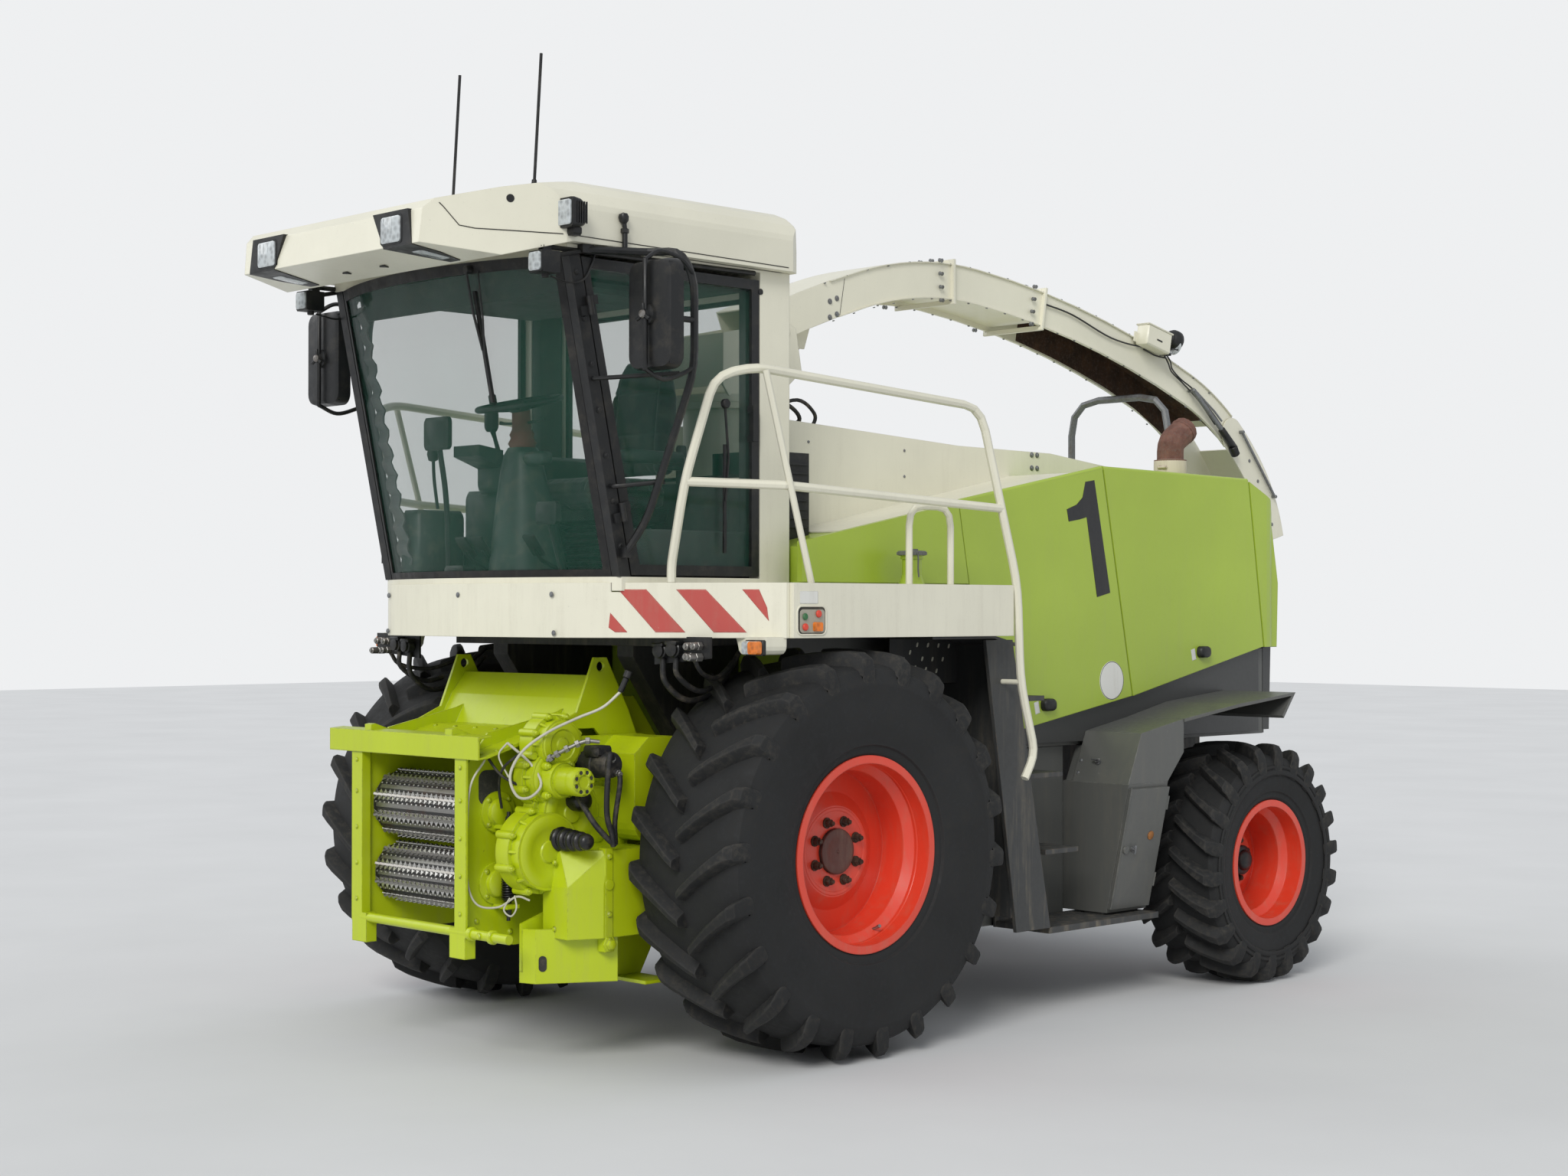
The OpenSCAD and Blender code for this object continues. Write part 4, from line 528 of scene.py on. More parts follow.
class Piece:
    """Collects the faces of one piece, in P's frame; s = -1 mirrors what follows to the right side."""

    def __init__(self, name, body, mat, s=1, slot=None):
        self.name, self.body, self.mat, self.s = name, body, mat, s
        self.slot = slot or FINISH_SLOT[mat]
        self.bm = bmesh.new()
        self.turn = Matrix.Identity(4)

    def add(self, pts, faces):
        vs = []
        for p in pts:
            q = self.turn @ Vector(p)
            vs.append(self.bm.verts.new(P(q.x * self.s, q.y, q.z)))
        for f in faces:
            if len(set(f)) > 2:
                self.bm.faces.new([vs[i] for i in f])
        return self

    def prism(self, outline, a, b, axis=0):
        """Outline in the two other coordinates, from a to b along axis."""
        n = len(outline)
        pts = []
        for h in (a, b):
            for p in outline:
                q = list(p)
                q.insert(axis, h)
                pts.append(q)
        self.add(pts, [list(range(n)), list(range(n, 2 * n))]
                 + [[i, (i + 1) % n, n + (i + 1) % n, n + i] for i in range(n)])
        return self

    def box(self, lo, hi, c=0.0):
        """Block between two corners, with edges cut by c along x and z."""
        (x0, y0, z0), (x1, y1, z1) = lo, hi
        if not c:
            return self.prism([(y0, z0), (y1, z0), (y1, z1), (y0, z1)], x0, x1)
        rows = [(y0, c), (y0 + c, 0), (y1 - c, 0), (y1, c)]
        ring = []
        for y, k in rows:
            ring.append([(x0 + c + k, y, z0 + k), (x1 - c - k, y, z0 + k), (x1 - k, y, z0 + c + k),
                         (x1 - k, y, z1 - c - k), (x1 - c - k, y, z1 - k), (x0 + c + k, y, z1 - k),
                         (x0 + k, y, z1 - c - k), (x0 + k, y, z0 + c + k)])
        return self.skin(ring)

    def skin(self, rings, caps=True, closed=True):
        """Faces between rings of the same number of points."""
        n = len(rings[0])
        pts = [p for r in rings for p in r]
        faces = []
        for j in range(len(rings) - 1):
            for i in range(n if closed else n - 1):
                k = (i + 1) % n
                faces.append([j * n + i, j * n + k, (j + 1) * n + k, (j + 1) * n + i])
        if caps:
            faces += [list(range(n)), list(range((len(rings) - 1) * n, len(rings) * n))]
        return self.add(pts, faces)

    def plate(self, centre, rows, n=5, axis=0):
        """Round-cornered sections square to an axis; rows are [(place on it, width, height, corner)]."""
        rings = []
        for t, w, h, r in rows:
            rings.append([[centre[0] + q[0], centre[1] + q[1]] for q in rounded(w, h, r, n)])
            for p in rings[-1]:
                p.insert(axis, t)
        return self.skin(rings)

    def sheet(self, centre, size, faces, n=5, axis=0):
        """The same section at each of its faces."""
        return self.plate(centre, [(t, *size) for t in faces], n, axis)

    def lines(self, n, *rows):
        """Hoses or cables; each row is a radius and the points that it passes."""
        for r, *pts in rows:
            self.tube(curve(pts), r, n)
        return self

    def lathe(self, p, d, profile, n=24, caps=False):
        """Turned form round direction d from p; profile is [(radius, distance along d)]."""
        p, d = Vector(p), unit(d)
        u, v = across(d)
        rings = []
        for r, t in profile:
            rings.append([p + d * t + (u * cos(a) + v * sin(a)) * max(r, 1e-5)
                          for a in (2 * pi * i / n for i in range(n))])
        return self.skin(rings, caps)

    def tube(self, path, r, n=8, caps=True):
        """Round tube along a path; r is a number or one for each point."""
        path = [Vector(q) for q in path]
        rs = r if isinstance(r, (list, tuple)) else [r] * len(path)
        t = unit(path[1] - path[0])
        u, _ = across(t)
        rings = []
        for i, q in enumerate(path):
            a, b = path[max(i - 1, 0)], path[min(i + 1, len(path) - 1)]
            t = unit(b - a)
            u = unit(u - t * u.dot(t))
            v = t.cross(u)
            rings.append([q + (u * cos(w) + v * sin(w)) * rs[i] for w in (2 * pi * k / n for k in range(n))])
        return self.skin(rings, caps)

    def rod(self, p, q, r, n=16, c=0.0):
        p, q = Vector(p), Vector(q)
        h = (q - p).length
        prof = [(r - c, 0), (r, c), (r, h - c), (r - c, h)] if c else [(r, 0), (r, h)]
        return self.lathe(p, q - p, prof, n, True)

    def bolt(self, p, d, r=0.011, h=0.008, washer=True):
        """Hexagon head on a washer, standing on p."""
        p, d = Vector(p), unit(d)
        if washer:
            self.lathe(p, d, [(r * 1.35, -0.001), (r * 1.35, 0.0022), (r * 1.2, 0.003)], 12, True)
        return self.lathe(p, d, [(r, 0), (r, h * 0.8), (r * 0.82, h)], 6, True)

    def rivet(self, p, d, r=0.008):
        return self.lathe(p, d, [(r, -0.0005), (r * 0.85, r * 0.35), (r * 0.4, r * 0.55)], 10, True)

    def done(self, smooth=38, bevel=0.0, sub=0, replaces=()):
        bmesh.ops.recalc_face_normals(self.bm, faces=self.bm.faces[:])
        me = bpy.data.meshes.new(self.name)
        self.bm.to_mesh(me)
        self.bm.free()
        me.polygons.foreach_set("use_smooth", [True] * len(me.polygons))
        if smooth < 180:
            me.set_sharp_from_angle(angle=radians(smooth))
        me.materials.append(MAT[self.mat])
        ob = bpy.data.objects.new(self.name, me)
        bpy.context.scene.collection.objects.link(ob)
        if bevel:
            mod = ob.modifiers.new("bevel", "BEVEL")
            mod.width = bevel
            mod.segments = 2
            mod.limit_method = "ANGLE"
            mod.angle_limit = radians(40)
        if sub:
            mod = ob.modifiers.new("round", "SUBSURF")
            mod.levels = mod.render_levels = sub
        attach(ob, self.body)
        if replaces:
            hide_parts(*replaces)
        return ob


def curve(points, per=6):
    """Smooth line through the given points."""
    q = [Vector(p) for p in points]
    q = [q[0] * 2 - q[1]] + q + [q[-1] * 2 - q[-2]]
    out = []
    for i in range(1, len(q) - 2):
        for k in range(per):
            t = k / per
            a, b, c, d = q[i - 1:i + 3]
            out.append(0.5 * ((2 * b) + (c - a) * t + (2 * a - 5 * b + 4 * c - d) * t * t
                              + (3 * b - 3 * c + d - a) * t ** 3))
    out.append(q[-2])
    return out


def arc2(c, r, a0, a1, n):
    """Points on a flat arc from a0 to a1 degrees."""
    return [(c[0] + r * cos(radians(a0 + (a1 - a0) * i / n)),
             c[1] + r * sin(radians(a0 + (a1 - a0) * i / n))) for i in range(n + 1)]


def rounded(w, h, r, n=4, c=(0, 0)):
    """Rectangle with round corners about c."""
    out = []
    for (sx, sy), a in (((1, 1), 0), ((-1, 1), 90), ((-1, -1), 180), ((1, -1), 270)):
        out += arc2((c[0] + sx * (w / 2 - r), c[1] + sy * (h / 2 - r)), r, a, a + 90, n)
    return out


# Wheels
# Lugs of a side, and how far they stand out
PITCHES = 22
LUG_H = 0.052
# Middle planes of the tyres and heights of the axles
WHEELBASE = 3.079
FRONT_Z, REAR_Z = 0.8904, 0.6254
FRONT_X, REAR_X = 1.165, 1.21


def make_tyre(node, body, cx, cy, cz, r, w, seat, bead, lead):
    """Ribbed sidewalls and curved lugs that wrap over the shoulders, on the lug places of the solid.

    r and w are the tyre's radius and width, seat its bead's radius, bead half the beads' distance.
    """
    s = 1 if cx > 0 else -1
    t = Piece("carcass_" + node, body, "tyre", s)
    lugs = Piece("lugs_" + node, body, "lug", s)
    x0 = abs(cx)
    base = r - LUG_H
    h = w / 2
    low = seat + 0.016
    half = [(bead, seat + 0.002), (bead + 0.010, low), (bead + 0.026, low + 0.022), (0.865 * h, low + 0.045),
            (0.90 * h, low + 0.052), (0.905 * h, low + 0.062), (0.945 * h, low + 0.10), (0.975 * h, low + 0.15),
            (0.978 * h, low + 0.158), (0.992 * h, low + 0.19), (1.0 * h, (r + seat) / 2),
            (0.998 * h, base - 0.115), (1.006 * h, base - 0.107), (1.004 * h, base - 0.095),
            (0.985 * h, base - 0.07), (0.94 * h, base - 0.036), (0.86 * h, base - 0.018),
            (0.6 * h, base - 0.006), (0.3 * h, base - 0.001), (0.0, base)]
    half = [p for i, p in enumerate(half) if i < 6 or p[1] > half[5][1] + 0.004]
    prof = [(p[1], p[0]) for p in half] + [(p[1], -p[0]) for p in reversed(half[:-1])]
    prof.append(prof[0])
    t.lathe((x0, cy, cz), X, prof, 132)
    step = 2 * pi / PITCHES
    sweep = lead * 0.8 * step
    phase = radians(270) - 0.15 * step - sweep

    def share(u):
        k = min(max((u - 0.06) / 0.9, 0), 1)
        return 1 - k ** 0.86

    # Stations of a lug, each [place across, radius of its foot, radius of its top, half width at the top]
    stations = [(0.03, base - 0.004, r - 0.004, 0.019), (0.16, base - 0.004, r, 0.020),
                (0.34, base - 0.006, r, 0.021), (0.55, base - 0.010, r - 0.002, 0.023),
                (0.74, base - 0.018, r - 0.005, 0.026), (0.90, base - 0.034, r - 0.014, 0.030),
                (0.985, base - 0.062, r - 0.040, 0.033), (1.018, base - 0.095, r - 0.085, 0.031),
                (1.008, base - 0.118, r - 0.128, 0.024)]
    for side, place in ((1, 0.15), (-1, 0.65)):
        for k in range(PITCHES):
            rings = []
            for j, (u, rb, rt, hw) in enumerate(stations):
                a = phase + (k + place) * step + sweep * share(u)
                wob = 1.0 + 0.03 * sin(k * 2.7 + j)
                hb = hw + 0.013 + 0.006 * (j < 6)
                xb = min(u, 0.985) * h
                xt = u * h
                ring = []
                for dx, rr, dw in ((xb, rb, -hb), (xt, rt - 0.010, -hw * wob - 0.003),
                                   (xt, rt, -hw * wob + 0.006), (xt, rt + 0.0008, 0),
                                   (xt, rt, hw * wob - 0.006), (xt, rt - 0.010, hw * wob + 0.003),
                                   (xb, rb, hb)):
                    b = a + dw / r
                    ring.append((x0 + side * dx, cy + rr * cos(b), cz + rr * sin(b)))
                rings.append(ring)
            lugs.skin(rings)
    t.done(30, replaces=(node,))
    lugs.done(30)


def wheel_nuts(end, n, s, foot, ring, washer, nut, stud=0.0):
    """Eight nuts on washers; foot is the disc's middle, the rows are [(radius, distance from it)]."""
    nuts = Piece("wheel_nuts_%s_%s" % (end, n), "wheel_%s_%s" % (end, n), "rust_dark", s)
    for dy, dz in circle(8, ring, 22.5):
        p = Vector(foot) + Vector((0, dy, dz))
        nuts.lathe(p, X, washer, 20, True)
        nuts.lathe(p, X, nut, 6, True)
        if stud:
            nuts.rod(p, p + Vector((stud, 0, 0)), 0.0105, 12, 0.002)
    nuts.done()


for n, s in SIDES:
    make_tyre("tyre_front_" + n, "wheel_front_" + n, s * FRONT_X, 0, FRONT_Z, 0.891, 0.65, 0.408, 0.251, 1)
    make_tyre("tyre_rear_" + n, "wheel_rear_" + n, s * REAR_X, WHEELBASE, REAR_Z, 0.626, 0.49, 0.307, 0.186, -1)

    wheel_nuts("front", n, s, (1.240, 0, FRONT_Z), 0.1375, [(0.024, -0.002), (0.024, 0.005), (0.020, 0.007)],
               [(0.0185, 0.005), (0.0185, 0.026), (0.015, 0.030)], 0.044)
    hub = Piece("hub_cover_front_" + n, "wheel_front_" + n, "hub", s)
    hub.lathe((1.2525, 0, FRONT_Z), X, [(0.0, 0.010), (0.006, 0.010), (0.008, 0.006), (0.060, 0.007),
                                        (0.066, 0.010), (0.094, 0.010), (0.100, 0.006), (0.101, 0.0)], 40)
    hub.done()
    lab = Piece("blank_labels_front_" + n, "wheel_front_" + n, "white", s)
    for a, w in ((118, 0.07), (140, 0.10), (163, 0.06)):
        # Each lies on the disc's cone, between two radii
        lab.turn = placed((0, 0, FRONT_Z), a - 90)
        lab.skin([[(x + h, y, r) for x, y, r in ((1.2052, -w / 2, 0.262), (1.2052, w / 2, 0.262),
                                                 (1.1988, w / 2, 0.296), (1.1988, -w / 2, 0.296))]
                  for h in (0, 0.0014)])
    lab.done()
    rim = Piece("rim_trim_front_" + n, "wheel_front_" + n, "red", s)
    # Pressed rings on the disc and beads on the rim's barrel
    rim.lathe((FRONT_X, 0, FRONT_Z), X, [(0.176, 0.0745), (0.179, 0.0775), (0.192, 0.0775), (0.195, 0.0745)],
              72)
    rim.lathe((FRONT_X, 0, FRONT_Z), X, [(0.3945, 0.190), (0.3915, 0.194), (0.3915, 0.202), (0.3945, 0.206)],
              96)
    rim.done()
    valve = Piece("valve_front_" + n, "wheel_front_" + n, "steel", s)
    valve.tube(curve([(1.30, 0.150, FRONT_Z - 0.352), (1.33, 0.148, FRONT_Z - 0.345),
                      (1.365, 0.142, FRONT_Z - 0.332)], 4), 0.006)
    valve.rod((1.362, 0.1425, FRONT_Z - 0.333), (1.378, 0.140, FRONT_Z - 0.327), 0.008)
    valve.done()

    wheel_nuts("rear", n, s, (1.190, WHEELBASE, REAR_Z), 0.108,
               [(0.021, -0.002), (0.021, 0.004), (0.018, 0.006)],
               [(0.0155, 0.004), (0.0155, 0.022), (0.012, 0.026)])
    hub = Piece("hub_cap_rear_" + n, "wheel_rear_" + n, "black", s)
    hub.lathe((1.2505, WHEELBASE, REAR_Z), X, [(0.0, 0.030), (0.030, 0.030), (0.046, 0.024), (0.054, 0.012),
                                               (0.056, 0.003), (0.072, 0.001), (0.078, -0.005),
                                               (0.0785, -0.030)], 36)
    hub.done()


# Cab
CAB_FLOOR = 2.09
# How far the windscreen leans forward over its height
LEAN_RUN, LEAN_RISE = 0.290, 1.385
LEAN = atan2(LEAN_RUN, LEAN_RISE)
# Radius that it bows with, how far its ends stand behind its middle, and y of its foot
SCREEN_R, SCREEN_BACK, SCREEN_Y = 1.99, 0.1715, -0.896


def screen(x, z, off=0.0):
    """Point on the bowed windscreen at x and height z, off in front of its face."""
    r = SCREEN_R + off
    yl = SCREEN_R - SCREEN_BACK - 0.010 - sqrt(r * r - x * x)
    zl = (z - CAB_FLOOR - yl * sin(LEAN)) / cos(LEAN)
    return (x, SCREEN_Y + yl * cos(LEAN) - zl * sin(LEAN), CAB_FLOOR + yl * sin(LEAN) + zl * cos(LEAN))


def on_screen(piece, x0, x1, z0, z1, off=0.001, thick=0.006, n=16):
    """Strip that lies on the windscreen between two x and two heights."""
    rings = []
    for i in range(n + 1):
        x = x0 + (x1 - x0) * i / n
        rings.append([screen(x, z0, off), screen(x, z1, off), screen(x, z1, off + thick),
                      screen(x, z0, off + thick)])
    piece.skin(rings)


def pillar(z):
    """y of the front pillars' middle at a height."""
    return -0.916 - LEAN_RUN * (z - CAB_FLOOR) / LEAN_RISE


seal = Piece("windscreen_seal", "chassis", "rubber")
on_screen(seal, -0.806, 0.806, 2.085, 2.122)
on_screen(seal, -0.806, 0.806, 3.385, 3.432)
for s in (1, -1):
    rings = []
    for i in range(9):
        z = 2.1 + 1.31 * i / 8
        rings.append([screen(s * 0.772, z, 0.001), screen(s * 0.806, z, 0.001), screen(s * 0.806, z, 0.007),
                      screen(s * 0.772, z, 0.007)])
    seal.skin(rings)
seal.done()

# Inner trim: headliner, floor mat, rear trim, sill strips
trim = Piece("cab_lining", "chassis", "trim")
trim.box((-0.80, -1.10, 3.405), (0.80, 0.02, 3.432), 0.008)
trim.box((-0.52, -1.02, 3.345), (0.52, -0.30, 3.408), 0.02)
trim.prism([(-1.125, 3.432), (-1.10, 3.30), (-1.075, 3.30), (-1.06, 3.432)], -0.78, 0.78)
for s in both(trim):
    trim.box((0.752, -0.86, 2.092), (0.786, -0.115, 2.30), 0.008)
trim.s = 1
trim.box((-0.70, 0.020, 2.095), (0.70, 0.046, 2.545), 0.006)
trim.box((-0.785, -0.098, 2.095), (-0.72, 0.045, 3.42), 0.006)
trim.box((0.72, -0.098, 2.095), (0.785, 0.045, 3.42), 0.006)
trim.done()
mat_piece = Piece("floor_mat", "chassis", "rubber")
mat_piece.prism([(-0.74, -0.12), (0.74, -0.12), (0.74, -0.86), (0.4, -1.00), (-0.4, -1.00), (-0.74, -0.86)],
                2.0904, 2.099, 2)
for i in range(24):
    x = -0.69 + i * 0.06
    mat_piece.box((x - 0.006, -0.84, 2.098), (x + 0.006, -0.16, 2.1025))
mat_piece.done()

# Rear window seal and the side window's rubber
seal = Piece("window_rubber", "chassis", "rubber")
for a, b in (((-0.725, 0.060, 2.545), (0.725, 0.094, 2.578)), ((-0.725, 0.060, 3.366), (0.725, 0.094, 3.399)),
             ((-0.727, 0.060, 2.55), (-0.694, 0.094, 3.395)), ((0.694, 0.060, 2.55), (0.727, 0.094, 3.395))):
    seal.box(a, b, 0.004)
for z0, z1 in ((2.092, 2.125), (3.402, 3.4345)):
    seal.prism([(pillar(z0) + 0.062, z0), (-0.096, z0), (-0.096, z1), (pillar(z1) + 0.062, z1)], -0.8395,
               -0.862)
seal.prism([(-0.096, 2.1), (-0.125, 2.1), (-0.125, 3.42), (-0.096, 3.42)], -0.8395, -0.862)
seal.prism([(pillar(2.1) + 0.061, 2.1), (pillar(2.1) + 0.092, 2.1), (pillar(3.42) + 0.092, 3.42),
            (pillar(3.42) + 0.061, 3.42)], -0.8395, -0.862)
seal.done()

# Folded blind at the windscreen's right side
blind = Piece("side_blind", "chassis", "blind")
rings = []
for i in range(41):
    z = 2.16 + 1.20 * i / 40
    w = 0.13 - 0.035 * (i / 40)
    k = 0.012 * sin(i * 1.9)
    y = screen(-0.72, z)[1] + 0.05 + k
    rings.append([(-0.79, y + 0.03, z), (-0.79 + w, y, z), (-0.79 + w, y + 0.008, z), (-0.79, y + 0.038, z)])
blind.skin(rings)
blind.done()

# Wipers of the windscreen, hanging from its top, and of the door
wiper = Piece("wipers", "chassis", "black")
x, zt, zb = 0.36, 3.40, 2.84
wiper.rod(screen(x, zt, 0.004), screen(x, zt, 0.035), 0.018, 14, 0.003)
wiper.tube([screen(x, zt, 0.030), screen(x + 0.004, (zt + zb) / 2 + 0.1, 0.032),
            screen(x + 0.010, zb + 0.22, 0.02)], 0.006, 6)
rings = []
for i in range(13):
    z = zb + (zt - 0.09 - zb) * i / 12
    rings.append([screen(x + 0.012 + dx, z, off) for dx, off in
                  ((-0.004, 0.003), (0.004, 0.003), (0.007, 0.020), (-0.007, 0.020))])
wiper.skin(rings)
wiper.tube([screen(x + 0.045, zt - 0.01, 0.012), screen(x + 0.05, zb + 0.35, 0.03),
            screen(x + 0.02, zb + 0.2, 0.024)], 0.004, 6)
wiper.done()
wiper = Piece("door_wiper", "cab_door", "black")
wiper.tube([(0.868, -0.317, 2.86), (0.874, -0.30, 2.62), (0.872, -0.317, 2.43)], 0.006, 6)
wiper.rod((0.860, -0.317, 2.86), (0.885, -0.317, 2.86), 0.022, 14, 0.004)
wiper.prism([(-0.325, 2.20), (-0.309, 2.20), (-0.311, 2.68), (-0.323, 2.68)], 0.862, 0.872)
wiper.done()

# Steering column with its cowl, boot, spoked wheel and levers
col = Piece("column_cowl", "chassis", "console")
rings = []
for z, w, d, y in ((2.0905, 0.33, 0.34, -0.735), (2.16, 0.32, 0.33, -0.735), (2.30, 0.29, 0.28, -0.745),
                   (2.46, 0.245, 0.22, -0.757), (2.58, 0.20, 0.175, -0.765), (2.655, 0.165, 0.15, -0.765),
                   (2.685, 0.13, 0.12, -0.765)):
    rings.append([(q[0], y + q[1], z) for q in rounded(w, d, min(w, d) * 0.42, 5)])
col.skin(rings)
col.box((0.055, -0.82, 2.60), (0.20, -0.74, 2.66), 0.014)
col.done(60, replaces=("steering_column",))
boot = Piece("column_boot", "chassis", "red_brown")
boot.lathe((0, -0.765, 2.66), (0, -0.05, 1), [(0.062, 0), (0.058, 0.03), (0.066, 0.045), (0.052, 0.07),
                                              (0.058, 0.085), (0.045, 0.11), (0.042, 0.20), (0.055, 0.225)], 24,
           True)
boot.done(60)
wheel = Piece("steering_wheel", "chassis", "black", slot="console_plastic")
RIM_R = 0.19
wc = Vector((0, -0.785, 2.885))
wa = unit((0, -0.22, 1))
wu, wv = across(wa)
ring = [wc + wu * a + wv * b for a, b in circle(40, RIM_R)]
wheel.tube(ring + ring[:1], 0.0145, 10, False)
for a, b in circle(4, 1.0, 45):
    e = wu * a + wv * b
    wheel.tube([wc - wa * 0.02 + e * 0.03, wc - wa * 0.012 + e * 0.12, wc + e * 0.185], [0.014, 0.010, 0.008],
               8)
wheel.lathe(wc - wa * 0.035, wa, [(0.0, 0), (0.045, 0), (0.055, 0.012), (0.05, 0.03), (0.03, 0.038),
                                  (0.0, 0.04)], 24)
for side in (wu, wu * -1):
    wheel.tube([wc - wa * 0.09 + side * 0.03, wc - wa * 0.085 + side * 0.13, wc - wa * 0.08 + side * 0.16],
               [0.007, 0.006, 0.009], 8)
wheel.rod(wc + wu * RIM_R - wa * 0.005, wc + wu * RIM_R + wa * 0.055, 0.018, 14, 0.006)
wheel.done(60)

# Pedals, arm-rest console with lever and switches, monitor on its stalk, levers
ped = Piece("pedals", "chassis", "dark_steel", slot="console_plastic")
for x in (-0.24, -0.12, 0.26):
    ped.tube([(x, -0.74, 2.12), (x, -0.86, 2.17), (x, -0.90, 2.22)], 0.010, 8)
    ped.turn = placed((x, -0.905, 2.235), 38)
    ped.box((-0.038, -0.008, -0.055), (0.038, 0.008, 0.055), 0.003)
    ped.turn = Matrix.Identity(4)
ped.done()
con = Piece("armrest_console", "chassis", "console")
con.box((-0.58, -0.60, 2.50), (-0.33, 0.0, 2.68), 0.022)
con.box((-0.74, -0.55, 2.10), (-0.36, -0.02, 2.52), 0.02)
con.box((0.30, -0.46, 2.62), (0.37, -0.10, 2.68), 0.014)
con.box((0.255, -0.14, 2.60), (0.32, -0.02, 2.66), 0.006)
con.prism([(-0.60, 2.62), (-0.74, 2.67), (-0.74, 2.72), (-0.60, 2.70)], -0.56, -0.36)
con.box((-0.77, -0.90, 2.10), (-0.62, -0.62, 2.42), 0.02)
con.done(60)
ctl = Piece("controls", "chassis", "black")
ctl.tube([(-0.44, -0.56, 2.68), (-0.45, -0.58, 2.76), (-0.445, -0.60, 2.80)], [0.012, 0.010, 0.014], 10)
ctl.box((-0.475, -0.635, 2.79), (-0.415, -0.575, 2.90), 0.014)
for i in range(4):
    for j in range(3):
        ctl.box((-0.54 + i * 0.045, -0.48 + j * 0.06, 2.679), (-0.515 + i * 0.045, -0.445 + j * 0.06, 2.690),
                0.003)
ctl.tube(curve([(-0.52, -0.86, 2.42), (-0.52, -0.88, 2.55), (-0.50, -0.90, 2.64)]), 0.008, 8)
ctl.lathe((-0.50, -0.90, 2.635), (0.1, -0.15, 1), [(0.0, 0.0), (0.022, 0.01), (0.028, 0.04), (0.020, 0.065),
                                                   (0.0, 0.07)], 14)
ctl.tube(curve([(-0.335, -0.93, 2.10), (-0.33, -0.95, 2.45), (-0.325, -0.99, 2.68)]), 0.013, 8)
ctl.box((-0.42, -1.02, 2.68), (-0.24, -0.975, 2.83), 0.012)
ctl.box((0.38, -1.00, 2.32), (0.52, -0.95, 2.42), 0.012)
ctl.tube(curve([(0.50, -0.94, 2.10), (0.47, -0.96, 2.24), (0.45, -0.975, 2.33)]), 0.008, 8)
ctl.box((-0.30, -0.99, 2.09), (-0.16, -0.90, 2.15), 0.01)
ctl.done()
scr = Piece("monitor_screen", "chassis", "screen")
scr.box((-0.405, -0.9762, 2.70), (-0.255, -0.9735, 2.81))
scr.done()

# Grab rails on the left pillar, mirror shells, glasses and clamps
rail = Piece("pillar_rails", "chassis", "black")
for z, yl, xl in ((2.921, -0.868, 1.130), (2.472, -0.845, 1.010)):
    rail.tube(curve([(0.862, pillar(z) + 0.03, z), (0.90, pillar(z) + 0.045, z), (xl, yl + 0.05, z + 0.02)]),
              0.010, 8)
for i in range(7):
    z = 2.22 + i * 0.19
    rail.bolt((0.8605, pillar(z) + 0.03, z), X, 0.010, 0.007)
rail.done()
MX, MZ = 1.20, 3.1625   # middle of the shells
for n, s in SIDES:
    sh = Piece("mirror_shell_" + n, "chassis", "black", s)
    sh.plate((MX, MZ), [(-1.052, 0.235, 0.410, 0.045), (-1.045, 0.262, 0.437, 0.052),
                        (-1.020, 0.274, 0.449, 0.055), (-0.992, 0.278, 0.453, 0.055),
                        (-0.982, 0.278, 0.453, 0.055), (-0.980, 0.262, 0.437, 0.050)], 5, 1)
    sh.lathe((MX, -1.052, 3.16), -Y, [(0.045, 0), (0.042, 0.012), (0.024, 0.016), (0.020, 0.030)], 20, True)
    sh.rod((MX, -1.070, 2.93), (MX, -1.070, 3.39), 0.011, 10, 0.002)
    sh.lines(8, (0.010, (MX, -1.070, 3.385), (1.19, -0.98, 3.43), (1.185, -0.86, 3.41), (1.19, -0.80, 3.36)),
             (0.010, (MX, -1.070, 2.935), (1.195, -0.97, 2.90), (1.19, -0.86, 2.93), (1.188, -0.79, 2.965)))
    for dx, dz in circle(3, 0.045, 90):
        sh.rod((MX, -1.078, 3.16), (MX + dx, -1.083, 3.16 + dz), 0.008, 8, 0.002)
    sh.done(45)
    gl = Piece("mirror_glass_" + n, "chassis", "mirror", s)
    gl.sheet((MX, MZ), (0.25, 0.425, 0.045), (-0.981, -0.977), 5, 1)
    gl.done()
    kn = Piece("mirror_knob_" + n, "chassis", "steel", s)
    kn.lathe((MX, -1.080, 3.16), -Y, [(0.016, 0), (0.018, 0.006), (0.014, 0.014), (0.0, 0.018)], 16)
    kn.done()


# Lamps and roof fittings
def lens(piece, x, y, z, w, h, d=-Y, depth=0.008, r=0.012, ribs=0):
    """Ribbed lamp glass whose face looks along d (square to x and z)."""
    d = unit(d)
    u = unit(Z.cross(d)) * -1
    v = d.cross(u)
    c = Vector((x, y, z))
    rings = []
    for t, k in ((0, 1.0), (depth * 0.7, 1.0), (depth, 0.94)):
        rings.append([c + u * (q[0] * k) + v * (q[1] * k) + d * t for q in rounded(w, h, r, 4)])
    piece.skin(rings)
    for i in range(ribs):
        a = (i + 0.5) / ribs - 0.5
        o = c + u * (a * w * 0.9) + d * (depth - 0.0006)
        piece.tube([o - v * h * 0.44, o, o + v * h * 0.44], 0.0022, 5, False)


